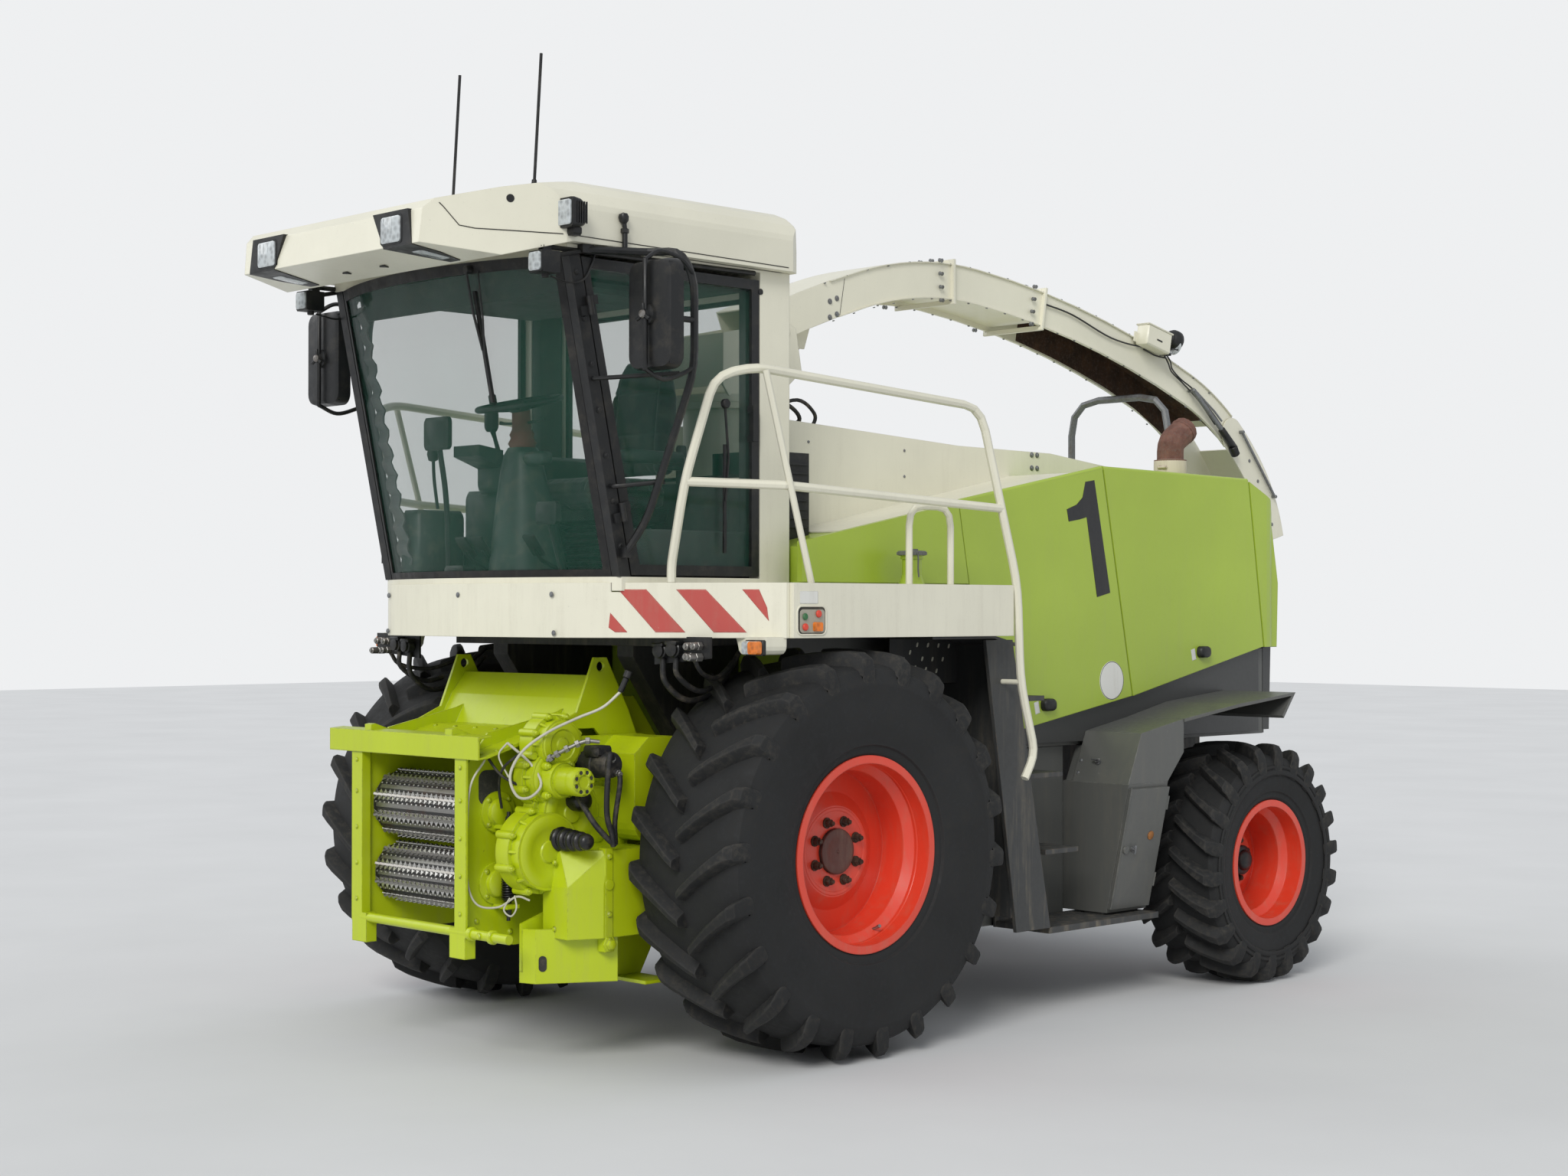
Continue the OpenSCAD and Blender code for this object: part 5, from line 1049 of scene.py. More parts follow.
hous = Piece("lamp_housings", "chassis", "black")
glas = Piece("lamp_lenses", "chassis", "lens")
for s in both(hous, glas):
    # Square work lamp at the roof's side
    hous.plate((0.93, 3.585), [(-1.276, 0.110, 0.122, 0.014), (-1.262, 0.114, 0.126, 0.016),
                               (-1.225, 0.106, 0.118, 0.018), (-1.195, 0.086, 0.100, 0.026),
                               (-1.185, 0.060, 0.074, 0.024)], 4, 1)
    for i in range(5):
        hous.box((0.984, -1.255 + i * 0.012, 3.54), (0.990, -1.250 + i * 0.012, 3.63))
    hous.box((0.905, -1.25, 3.50), (0.955, -1.20, 3.53), 0.004)
    hous.box((0.86, -1.245, 3.494), (0.95, -1.205, 3.503))
    lens(glas, 0.93, -1.276, 3.585, 0.092, 0.104, ribs=9)
    # Lamp on the windscreen pillar
    hous.plate((0.87, 3.38), [(-1.380, 0.088, 0.088, 0.010), (-1.366, 0.092, 0.092, 0.012),
                              (-1.33, 0.088, 0.088, 0.014), (-1.292, 0.070, 0.072, 0.018)], 4, 1)
    hous.box((0.84, -1.34, 3.424), (0.875, -1.30, 3.452))
    hous.rod((0.87, -1.33, 3.318), (0.87, -1.33, 3.34), 0.016, 12, 0.003)
    lens(glas, 0.87, -1.380, 3.38, 0.076, 0.076, ribs=8)
    # Lamp let into the visor, on a black mask that runs under it
    hous.prism([(0.338, 3.580), (0.585, 3.580), (0.612, 3.437), (0.412, 3.437)], -1.8125, -1.79, 1)
    rows = []
    for y, z, a, b in ((-1.812, 3.434, 0.412, 0.612), (-1.66, 3.4165, 0.455, 0.602),
                       (-1.53, 3.402, 0.492, 0.560)):
        rows.append([(a, y, z + 0.006), (b, y, z + 0.006), (b, y, z - 0.0028), (a, y, z - 0.0028)])
    hous.skin(rows)
    rim = [(0.47 + q[0], -1.8125, 3.505 + q[1]) for q in rounded(0.145, 0.118, 0.016, 4)]
    hous.tube(rim + rim[:1], 0.0035, 6, False)
    lens(glas, 0.47, -1.811, 3.505, 0.135, 0.108, depth=0.010, r=0.014, ribs=4)
    lens(glas, 0.528, -1.655, 3.4155, 0.072, 0.150, d=(0, -0.112, -1), depth=0.005, r=0.012)
hous.s = 1
for x in (-0.14, 0.14):
    hous.prism([(x - 0.018, -1.63), (x + 0.018, -1.63), (x, -1.595)], 3.406, 3.4125, 2)
hous.done(40, replaces=("lamps",))
glas.done(40)

cab = Piece("roof_fittings", "chassis", "black")
for s in both(cab):
    n, c = Vector((0.909, -0.4167, 0)), Vector((0.8156, -1.4669, 3.6343))
    cab.rod(c - n * 0.004, c + n * 0.0015, 0.017, 16)
    cab.rod((0.860, -0.092, 3.377), (0.8625, -0.092, 3.377), 0.014, 14)
    # Mirror arm's stub and knob
    cab.rod((0.93, -0.95, 3.455), (0.93, -0.95, 3.535), 0.012, 12)
    cab.rod((0.93, -0.95, 3.535), (0.93, -0.95, 3.555), 0.018, 6, 0.002)
    cab.lathe((0.93, -0.95, 3.555), (0, -0.15, 1), [(0.010, 0), (0.010, 0.02), (0.020, 0.032), (0.023, 0.048),
                                                    (0.018, 0.062), (0.0, 0.068)], 16)
    # Cable of the pillar lamp
    cab.tube(curve([(0.872, -1.30, 3.325), (0.866, -1.20, 3.31), (0.864, -1.12, 3.33), (0.865, -1.075, 3.40),
                    (0.868, -1.06, 3.448)]), 0.0045, 6)
    cab.tube([(0.86, -1.35, 3.447), (0.86, -0.60, 3.452), (0.86, -0.13, 3.456)], 0.011, 8)
cab.s = 1
for x in (0.30, -0.30):
    cab.lathe((x, -0.94, 3.795), (0, 0.05, 1), [(0.026, -0.004), (0.026, 0.006), (0.014, 0.012), (0.011, 0.05),
                                                (0.0, 0.055)], 16)
cab.done()

seam = Piece("roof_seams", "chassis", "seam")
for s in both(seam):
    seam.tube([(0.9155, -1.235, 3.500), (0.9155, -0.60, 3.497), (0.9155, 0.03, 3.492)], 0.0022, 6)
    line = [(-1.735, 3.600), (-1.72, 3.585), (-1.66, 3.512), (-1.60, 3.503), (-1.45, 3.502), (-1.265, 3.500)]
    seam.tube([(0.6730 + 0.4584 * (y + 1.78), y, z) for y, z in line], 0.0022, 6)
seam.done()

# Front apron: warning stripes, screws, indicators, sockets and couplings
A0, A1 = Vector((0.76, -0.97, 0)), Vector((1.395, -0.45, 0))
ALONG = unit(A1 - A0)
OUT = Vector((ALONG.y, -ALONG.x, 0))


def on_apron(u, z, off=0.0):
    return A0 + ALONG * u + OUT * off + Vector((0, 0, z))


STRIPES = [[(0.067, 1.937), (0.060, 1.874), (0.088, 1.854), (0.141, 1.854)],
           [(0.101, 2.036), (0.222, 2.036), (0.390, 1.854), (0.262, 1.854)],
           [(0.350, 2.036), (0.477, 2.036), (0.652, 1.854), (0.511, 1.854)],
           [(0.632, 2.036), (0.704, 2.036), (0.720, 2.000), (0.738, 1.960), (0.746, 1.902)]]
for n, s in SIDES:
    st = Piece("warning_stripes_" + n, "chassis", "stripe", s)
    for q in STRIPES:
        st.skin([[on_apron(u, z, o) for u, z in q] for o in (-0.001, 0.0012)])
    st.done()

fit = Piece("apron_screws", "chassis", "zinc")
for x in (-0.60, 0.0, 0.60):
    yy = -1.125 + 0.05 * abs(x) / 0.61
    fit.bolt((x, yy - 0.001, 2.015), -Y, 0.009, 0.006)
for x in (-0.612, 0.612):
    fit.bolt((x, -1.074, 1.850), -Y, 0.009, 0.006)
fit.done()

amb = Piece("indicator_lenses", "chassis", "amber")
clr = Piece("position_lenses", "chassis", "lens")
blk = Piece("apron_fittings", "chassis", "black")
met = Piece("coupling_metal", "chassis", "steel")
for s in both(amb, clr, blk, met):
    blk.box((1.275, -0.583, 1.757), (1.385, -0.555, 1.823), 0.006)
    lens(amb, 1.354, -0.585, 1.79, 0.062, 0.056, depth=0.026, r=0.012, ribs=5)
    lens(clr, 1.300, -0.583, 1.79, 0.046, 0.056, depth=0.018, r=0.012, ribs=4)
    # Plate with sockets and hydraulic couplings under the apron
    blk.prism([(0.86, 1.715), (1.215, 1.745), (1.215, 1.835), (0.86, 1.835)], -0.72, -0.71, 1)
    for x, z, r in ((0.925, 1.775, 0.034), (1.01, 1.782, 0.036)):
        blk.lathe((x, -0.72, z), (0.1, -1, 0), [(r, 0), (r, 0.03), (r * 0.86, 0.034), (r * 0.86, 0.046),
                                                (r * 0.5, 0.05), (0.0, 0.05)], 20)
        blk.box((x - r, -0.768, z + r * 0.5), (x + r, -0.72, z + r), 0.004)
    for x, z, h in ((1.105, 1.795, 0.045), (1.155, 1.797, 0.05), (1.108, 1.752, 0.05), (1.157, 1.750, 0.075)):
        met.rod((x, -0.72, z), (x, -0.72 - h * 0.5, z), 0.019, 6, 0.002)
        met.rod((x, -0.72 - h * 0.5, z), (x, -0.72 - h, z), 0.016, 16, 0.003)
        met.rod((x, -0.72 - h, z), (x, -0.725 - h, z), 0.009, 12)
for p in (amb, clr, blk, met):
    p.done()

# Control recess and blank plate in the walkway's side band, the recess drawn with painted shade; x of its face
BAND = 1.4195
for n, s in SIDES:
    rec = Piece("recess_rim_" + n, "chassis", "cream", s)
    ring = [(BAND + 0.001, -0.326 + q[0], 1.905 + q[1]) for q in rounded(0.172, 0.122, 0.026, 5)]
    rec.tube(ring + ring[:1], 0.0045, 8, False)
    rec.done()
    # Dark plate round the recess face: painted shade on the recess's walls
    rec = Piece("recess_plate_" + n, "chassis", "seam", s, slot="cream_paint")
    rec.sheet((-0.326, 1.905), (0.168, 0.118, 0.025), (BAND - 0.0005, BAND + 0.0013))
    rec.done()
    # Face of the recess in a darker cream: painted shade
    rec = Piece("recess_plate_face_" + n, "chassis", "recess", s)
    rec.sheet((-0.322, 1.902), (0.150, 0.100, 0.018), (BAND, BAND + 0.0019))
    rec.done()
    rec = Piece("push_buttons_" + n, "chassis", "red", s)
    for y, z in ((-0.369, 1.877), (-0.289, 1.933)):
        rec.rod((1.421, y, z), (1.433, y, z), 0.016, 16, 0.004)
    rec.done()
    rec = Piece("green_button_" + n, "chassis", "button_green", s)
    rec.rod((1.421, -0.369, 1.921), (1.431, -0.369, 1.921), 0.015, 16, 0.004)
    rec.done()
    rec = Piece("side_marker_" + n, "chassis", "amber", s)
    lens(rec, BAND + 0.0013, -0.293, 1.878, 0.052, 0.040, d=X, depth=0.012, r=0.008, ribs=4)
    rec.done()
    rec = Piece("blank_plate_" + n, "chassis", "white", s)
    rec.sheet((-0.343, 2.0025), (0.108, 0.053, 0.004), (BAND, BAND + 0.0019), 2)
    rec.done()

# Side panels: knobs, blank plates, the blank disc and the plain numeral; x of the panel's face
PANEL = 1.0195
for side, s in SIDES:
    for n, y, z in (("front", 1.726, 1.444), ("rear", 3.031, 1.691)):
        body = "panel_%s_%s" % (n, side)
        k = Piece("panel_knob_%s_%s" % (n, side), body, "black", s)
        k.skin([[(PANEL + h, y + q[0] * a, z + 0.035 + q[1] * a) for q in rounded(0.095, 0.062, 0.026, 5)]
                for h, a in ((0, 1.0), (0.0205, 1.0), (0.0325, 0.86), (0.0365, 0.6))])
        k.done(60)
        k = Piece("panel_plate_%s_%s" % (n, side), body, "white", s)
        k.turn = placed((0, y - 0.075, z + 0.018), 13)
        k.box((PANEL, -0.018, -0.026), (PANEL + 0.0013, 0.018, 0.034))
        k.done()
    disc = Piece("blank_disc_" + side, "panel_front_" + side, "white", s)
    centre = (PANEL + 0.0003, 2.249, 1.589)
    disc.lathe(centre, X, [(0.0, 0.0015), (0.098, 0.0015), (0.100, -0.0005)], 40)
    disc.done()
    disc = Piece("disc_edge_" + side, "panel_front_" + side, "black", s)
    disc.lathe(centre, X, [(0.0945, 0.0018), (0.0975, 0.0018), (0.0975, 0.001), (0.0945, 0.001),
                           (0.0945, 0.0018)], 40)
    disc.done()
    num = Piece("numeral_" + side, "panel_front_" + side, "numeral", s)
    num.prism([(2.033, 2.600), (2.106, 2.611), (2.236, 2.039), (2.127, 2.016), (2.043, 2.421), (1.985, 2.408),
               (1.899, 2.395), (1.884, 2.456), (1.962, 2.482), (2.010, 2.520)], PANEL + 0.0001, PANEL + 0.0017)
    num.done()


# Feed intake: bolts, motors, bellows, springs, cables
# Round casings of the drive, [y, z, radius, x of the face]
CASINGS = [(-1.060, 1.374, 0.108, 0.655), (-1.080, 1.235, 0.120, 0.630), (-1.000, 1.080, 0.150, 0.645),
           (-1.130, 0.925, 0.165, 0.655), (-0.860, 1.000, 0.190, 0.640)]


def inside(y, z, skip):
    """Whether a point by one casing lies under one of the others."""
    return any(hypot(y - c[0], z - c[1]) < c[2] + 0.02 and c[3] > CASINGS[skip][3] - 0.045
               for i, c in enumerate(CASINGS) if i != skip)


drv = Piece("drive_castings", "intake", "lime")
for i, (y, z, r, x) in enumerate(CASINGS):
    # Turned faces, domed rim and bolt heads of each casing
    drv.lathe((x, y, z), X, [(r * 0.96, -0.003), (r * 0.90, 0.004), (r * 0.62, 0.006), (r * 0.58, 0.002),
                             (r * 0.30, 0.002), (r * 0.27, 0.008), (r * 0.16, 0.010), (0.0, 0.010)], 40)
    for a in range(20, 360, 45):
        w = radians(a)
        by, bz = y + (r + 0.018) * cos(w), z + (r + 0.018) * sin(w)
        if inside(by, bz, i) or by > -0.74:
            continue
        drv.lathe((x - 0.040, by, bz), X, [(0.0168, -0.004), (0.0155, 0.004), (0.0135, 0.005)], 16, True)
        drv.lathe((x - 0.036, by, bz), X, [(0.0105, 0), (0.0105, 0.010), (0.0085, 0.013)], 6, True)
    # Ribs between flange and face
    for a in range(42, 360, 45):
        w = radians(a)
        by, bz = y + r * cos(w), z + r * sin(w)
        if inside(by, bz, i):
            continue
        o = Vector((0, cos(w), sin(w)))
        t = Vector((0, -o.z, o.y)) * 0.006
        c = Vector((0, y, z))
        p = [c + o * (r + dr) - t + Vector((x - back, 0, 0)) for dr, back in
             ((-0.002, 0.012), (0.016, 0.049), (-0.004, 0.049))]
        drv.skin([p, [q + t * 2 for q in p]])
drv.done(42)

MOTOR_Y, MOTOR_Z = -1.088, 1.226
mot = Piece("motor_end", "intake", "lime")
mot.lathe((0.83, MOTOR_Y, MOTOR_Z), X, [(0.0602, -0.052), (0.0608, -0.05), (0.0608, -0.002), (0.057, 0.004),
                                        (0.028, 0.004), (0.026, 0.001), (0.0, 0.001)], 40)
for k in range(8):
    mot.turn = placed((0.834, MOTOR_Y, MOTOR_Z), 45 * k)
    mot.skin([[(0, -0.005, 0.031), (0, 0.005, 0.031), (0, 0.009, 0.053), (0, -0.009, 0.053)],
              [(0.005, -0.004, 0.032), (0.005, 0.004, 0.032), (0.005, 0.007, 0.052), (0.005, -0.007, 0.052)]])
mot.turn = Matrix.Identity(4)
mot.lathe((0.702, MOTOR_Y, MOTOR_Z), X, [(0.0752, -0.074), (0.0775, -0.066), (0.0775, -0.006), (0.0752, 0.001)],
          32)
for dy, dz in circle(4, 0.088, 45):
    c = Vector((0.645, MOTOR_Y + dy, MOTOR_Z + dz))
    mot.rod(c, c + Vector((0.03, 0, 0)), 0.017, 16, 0.003)
    mot.bolt(c + Vector((0.03, 0, 0)), X, 0.011, 0.011, False)
mot.done(42)
# Dark discs on the motor's end: painted shade in its pits
pit_shade = Piece("motor_end_pit_shade", "intake", "seam")
for dz, dy in circle(8, 0.043, 22.5):
    pit_shade.rod((0.8335, MOTOR_Y + dy, MOTOR_Z + dz), (0.8352, MOTOR_Y + dy, MOTOR_Z + dz), 0.0085, 12)
pit_shade.done()

blk = Piece("intake_black_motor", "intake", "hose")
blk.lathe((0.66, -0.925, 1.29), X, [(0.0525, -0.02), (0.0555, -0.014), (0.0555, 0.06), (0.060, 0.064),
                                    (0.060, 0.078), (0.0555, 0.082), (0.0555, 0.160), (0.048, 0.172),
                                    (0.0, 0.172)], 28, True)
blk.box((0.70, -0.99, 1.325), (0.80, -0.90, 1.372), 0.010)
blk.done(40)
met = Piece("intake_fittings", "intake", "steel")
for p, q in (((0.832, -0.945, 1.312), (0.862, -0.957, 1.318)),
             ((0.832, -0.912, 1.262), (0.860, -0.918, 1.256))):
    met.rod(p, q, 0.016, 6, 0.002)
    q = Vector(q)
    met.rod(q, q + (q - Vector(p)) * 0.5, 0.0115, 14, 0.002)
# Row of unions on the pipe over the first motor
path = curve([(0.665, -1.150, 1.312), (0.70, -1.135, 1.336), (0.745, -1.095, 1.368), (0.79, -1.045, 1.395),
              (0.83, -1.0, 1.392)], 6)
met.tube(path, 0.0085, 10)
for i in range(3, len(path) - 2, 4):
    d = unit(path[i + 1] - path[i])
    met.rod(path[i] - d * 0.010, path[i] + d * 0.010, 0.0165, 6, 0.002)
met.done()

bel = Piece("shaft_bellows", "intake", "boot")
prof = [(0.050, -0.002)]
for i in range(4):
    # Each fold is a pair of ridges and the groove behind them
    r0, t0 = 0.0535 - 0.0040 * i, i * 0.044
    for t in (t0, t0 + 0.0165):
        prof += [(r0 - 0.0030, t + 0.002), (r0, t + 0.008), (r0 - 0.0030, t + 0.014)]
    prof += [(r0 - 0.011, t0 + 0.035), (r0 - 0.011, t0 + 0.040)]
prof += [(0.031, 0.172), (0.0345, 0.180), (0.0355, 0.192), (0.031, 0.204), (0.018, 0.212), (0.0, 0.214)]
bel.lathe((0.648, -1.078, 0.976), X, prof, 32, True)
bel.lathe((0.722, -0.99, 1.135), X, [(0.045, -0.08), (0.048, -0.02), (0.04, 0.0), (0.03, 0.008), (0.0, 0.008)],
          20)
bel.done(50)

# Coil springs with their eyes; x and y of their middle
SPRING = (0.44, -1.18)
spr = Piece("coil_springs", "intake", "boot", slot="bare_steel")
for s in both(spr):
    z0, z1, turns, steps = 0.715, 0.985, 25, 12
    wire = []
    for i in range(turns * steps + 1):
        a = 2 * pi * i / steps
        wire.append((SPRING[0] + 0.027 * cos(a), SPRING[1] + 0.027 * sin(a),
                     z0 + (z1 - z0) * i / (turns * steps)))
    spr.tube(wire, 0.0048, 6)
    spr.rod((*SPRING, 0.72), (*SPRING, 0.98), 0.0205, 14)
    spr.lathe((*SPRING, 0.983), Z, [(0.030, 0), (0.027, 0.012), (0.014, 0.020), (0.0125, 0.031)], 16, True)
    spr.lathe((*SPRING, 0.717), -Z, [(0.030, 0), (0.027, 0.010), (0.014, 0.018), (0.0125, 0.0268)], 16, True)
spr.done(50, replaces=("intake_springs",))
eye = Piece("spring_eyes", "intake", "dark_steel")
for s in both(eye):
    for z, k in ((1.034, 1), (0.668, -1)):
        eye.rod((*SPRING, z), (*SPRING, z + 0.030 * k), 0.014, 6, 0.002)
        eye.rod((*SPRING, z + 0.028 * k), (*SPRING, z + 0.050 * k), 0.0085, 12)
eye.done()

# Rollers: screws between the bars, strips beside them, saw-toothed blades and rings at the ends; screws, strips
# and rings take a dark steel beside the bright teeth, painted shade on what is one shiny steel
BARS = 10
TOOTH = 0.0345   # from one tooth to the next
for n, y, z, d in (("upper", -1.190, 1.080, 0.276), ("lower", -1.200, 0.775, 0.236)):
    r = Piece(n + "_roller_screws", n + "_roller", "dark_steel")
    for dy, dz in circle(BARS, 1.0, 180 / BARS):
        o = Vector((0, dy, dz))
        for j in range(6):
            r.lathe(Vector((-0.30 + 0.12 * j, y, z)) + o * (d / 2 - 0.001), o,
                    [(0.009, 0), (0.008, 0.003), (0.003, 0.0035), (0.0025, 0.001)], 10, True)
    r.done()
    r = Piece(n + "_roller_strips", n + "_roller", "dark_steel")
    t = Piece(n + "_roller_teeth", n + "_roller", "teeth")
    for k in range(BARS):
        a = radians(360 / BARS * k)
        for g in (-0.19, 0.19):
            pts = []
            for dw, h in ((-0.05, 0.0), (-0.035, 0.0045), (0.035, 0.0045), (0.05, 0.0)):
                w = a + g + dw
                pts.append(Vector((0, -sin(w), cos(w))) * (d / 2 + h - 0.0005))
            r.skin([[Vector((x, y, z)) + q for q in pts] for x in (-0.346, 0.346)])
    for k in range(BARS):
        a = radians(360 / BARS * k)
        o, w = Vector((0, -sin(a), cos(a))), Vector((0, -cos(a), -sin(a)))
        for j in range(20):
            x0 = -0.345 + j * TOOTH
            for e in (1, -1):
                p = [Vector((x, y, z)) + o * h + w * (0.004 * e + u * e) for x, u, h in
                     ((x0 + 0.001, 0, d / 2 + 0.005), (x0 + TOOTH - 0.001, 0, d / 2 + 0.005),
                      (x0 + TOOTH / 2, 0.021, d / 2 + 0.012))]
                t.skin([p, [q + o * 0.004 for q in p]])
            t.bolt(Vector((x0 + TOOTH / 2, y, z)) + o * (d / 2 + 0.001) + w * 0.032, o, 0.0045, 0.005, False)
    t.done()
    for e in (1, -1):
        r.lathe((0.3475 * e, y, z), (e, 0, 0), [(d / 2 + 0.002, -0.012), (d / 2 + 0.002, 0), (0.06, 0),
                                                (0.055, 0.004), (0.04, 0.004)], 40)
    r.done()

# Bolts of the deck, gussets, guards and covers, bearing housings, caps on the cross tube
fit = Piece("intake_bolts", "intake", "lime")
up = unit((0, -0.1 / 0.35, 1))   # square to the deck
for i in range(7):
    fit.bolt((-0.45 + 0.15 * i, -1.33, 1.3355), up, 0.009, 0.007)
    fit.bolt((-0.45 + 0.15 * i, -1.03, 1.4215), up, 0.009, 0.007)
for s in both(fit):
    for i in range(4):
        fit.bolt((0.485, -1.28 + 0.075 * i, 1.350 + 0.0214 * i), up, 0.008, 0.006)
    for z in (0.66, 0.82, 0.98, 1.14, 1.28):
        fit.bolt((0.385, -1.3955, z), -Y, 0.008, 0.006)
    for y, z in ((-1.30, 0.62), (-1.12, 0.56), (-0.90, 0.56), (-1.10, 1.36), (-0.95, 1.40)):
        fit.bolt((0.3725, y, z), X, 0.010, 0.008)
    # Bearing housings of the rollers
    for y, z in ((-1.190, 1.080), (-1.200, 0.775)):
        if s < 0 and z < 1:
            continue
        fit.lathe((0.3715, y, z), X, [(0.090, 0), (0.090, 0.012), (0.060, 0.016), (0.055, 0.034),
                                      (0.046, 0.040), (0.0, 0.040)], 32, True)
        for dy, dz in circle(4, 0.074, 45):
            fit.bolt((0.3835, y + dy, z + dz), X, 0.009, 0.008)
fit.s = 1
for z in (0.60, 0.88):
    fit.bolt((0.68, -1.1205, z), -Y, 0.010, 0.008)
for z in (0.55, 0.66, 0.905):
    fit.bolt((0.8305, -0.945, z), X, 0.011, 0.009)
fit.lathe((0.8305, -0.945, 0.785), X, [(0.024, 0), (0.024, 0.003), (0.012, 0.004), (0.0, 0.004)], 20)
fit.lathe((0.8295, -0.945, 0.533), X, [(0.036, -0.002), (0.036, 0.006), (0.024, 0.008), (0.022, 0.022),
                                       (0.010, 0.026), (0.0, 0.026)], 6)
fit.lathe((-0.4045, -1.20, 0.775), -X, [(0.112, -0.003), (0.118, 0.003), (0.112, 0.006), (0.052, 0.006),
                                        (0.045, 0.014), (0.0, 0.014)], 36)
for dy, dz in circle(6, 0.080):
    fit.bolt((-0.4105, -1.20 + dy, 0.775 + dz), -X, 0.009, 0.008)
for x in (0.43, 0.575):
    fit.rod((x, -1.375, 0.58), (x + 0.025, -1.375, 0.58), 0.030, 20, 0.004)
fit.rod((0.52, -1.405, 0.58), (0.52, -1.345, 0.58), 0.015, 6, 0.003)
fit.done(40)

# Painted shade of holes: dark patches for the slot in the bent plate and the openings in the side plates and
# ears
hole_shade = Piece("intake_hole_shade", "intake", "seam")
t = unit(Vector((0.815, -0.885, 0)) - Vector((0.640, -1.190, 0)))   # along the bent plate
o = Vector((t.y, -t.x, 0))
c = Vector((0.655, -1.165, 0.455)) + o * 0.0014
hole_shade.skin([[c + t * q[0] + Vector((0, 0, q[1])) + o * h for q in rounded(0.034, 0.066, 0.016, 6)]
           for h in (0, 0.0012)])
for s in both(hole_shade):
    hole_shade.skin([[(x, -1.232 + q[0], 1.187 + q[1]) for q in rounded(0.115, 0.150, 0.038, 6)]
               for x in (0.3724, 0.3735)])
    for y, z, r in ((-0.60, 1.30, 0.022), (-0.47, 1.235, 0.018)):
        hole_shade.rod((0.5052, y, z), (0.5062, y, z), r, 20)
hole_shade.done()
lab = Piece("blank_labels", "intake", "yellow")
lab.box((0.8002, -0.655, 1.085), (0.8012, -0.60, 1.165))
lab.done()

# Hoses and cables of the intake, and the pale cable's plug by the sockets
hos = Piece("intake_hoses", "intake", "hose")
hos.lines(10, (0.0125, (0.868, -0.960, 1.320), (0.885, -0.990, 1.335), (0.880, -1.000, 1.20),
               (0.862, -0.985, 1.08), (0.858, -0.955, 1.00), (0.850, -0.94, 0.95)),
          (0.0125, (0.72, -1.03, 1.16), (0.765, -1.035, 1.12), (0.81, -1.01, 1.045), (0.845, -0.965, 0.98),
           (0.85, -0.93, 0.955)),
          (0.0115, (0.862, -0.915, 1.254), (0.872, -0.925, 1.20), (0.848, -0.930, 1.06),
           (0.822, -0.905, 0.955)),
          (0.006, (0.60, -1.24, 1.345), (0.52, -1.27, 1.28), (0.45, -1.24, 1.20), (0.43, -1.21, 1.10)),
          (0.006, (0.44, -1.30, 1.33), (0.50, -1.27, 1.25), (0.545, -1.20, 1.20)))
hos.done(60)
cab = Piece("intake_cables", "intake", "cable")
cab.lines(8, (0.0062, (0.845, -0.90, 1.60), (0.80, -0.96, 1.535), (0.74, -1.05, 1.49), (0.675, -1.16, 1.43),
              (0.62, -1.25, 1.35), (0.585, -1.285, 1.25), (0.60, -1.26, 1.165), (0.635, -1.215, 1.16),
              (0.65, -1.17, 1.215), (0.60, -1.19, 1.30), (0.52, -1.25, 1.385)),
          (0.005, (0.43, -1.30, 1.31), (0.415, -1.365, 1.20), (0.402, -1.372, 1.0), (0.402, -1.37, 0.80),
           (0.43, -1.34, 0.70), (0.50, -1.28, 0.69), (0.56, -1.23, 0.735), (0.60, -1.19, 0.72)),
          (0.004, (0.56, -1.24, 0.74), (0.585, -1.25, 0.69), (0.56, -1.26, 0.655), (0.525, -1.27, 0.68),
           (0.54, -1.25, 0.73)),
          (0.004, (0.52, -1.25, 1.385), (0.50, -1.28, 1.33), (0.53, -1.25, 1.24)))
cab.done(60)
cab = Piece("intake_cable_plug", "intake", "black")
cab.rod((0.845, -0.90, 1.60), (0.862, -0.88, 1.66), 0.013, 12, 0.003)
cab.rod((0.862, -0.88, 1.66), (0.868, -0.87, 1.69), 0.018, 12, 0.003)
cab.done()
# Looped lines from the sockets back under the cab
hos = Piece("socket_lines", "chassis", "hose")
for s in both(hos):
    hos.lines(10, (0.013, (0.925, -0.73, 1.745), (0.93, -0.72, 1.64), (0.94, -0.60, 1.56), (0.93, -0.42, 1.60),
                   (0.90, -0.30, 1.72)),
              (0.012, (1.01, -0.73, 1.75), (1.01, -0.72, 1.67), (1.0, -0.58, 1.60), (0.96, -0.40, 1.66),
               (0.92, -0.28, 1.76)),
              (0.010, (1.108, -0.715, 1.74), (1.10, -0.66, 1.68), (1.04, -0.52, 1.66), (0.97, -0.36, 1.72)))
hos.done(60)

# Spout: joint bolts, rusted lining, camera with its cables, end lamp
def on_spout(table, y):
    """Height and slope in degrees, between the stations of a table, at y."""
    for a, b in zip(table, table[1:]):
        if a[0] <= y <= b[0]:
            k = (y - a[0]) / (b[0] - a[0])
            return a[1] + (b[1] - a[1]) * k, a[2] + (b[2] - a[2]) * k
    return table[-1][1:]


# The spout's middle line, [y, z, slope in degrees]
CENTRE = [(0.90, 3.455, 20.0), (1.25, 3.575, 15.0), (1.654, 3.669, 7.4), (1.850, 3.686, 2.4),
          (2.144, 3.680, -5.0), (2.420, 3.650, -7.2), (2.695, 3.610, -9.3), (2.968, 3.560, -11.5),
          (3.240, 3.500, -13.6), (3.508, 3.429, -15.8), (3.774, 3.349, -19.0), (4.05, 3.245, -24.0),
          (4.30, 3.12, -31.0), (4.485, 3.009, -38.1)]


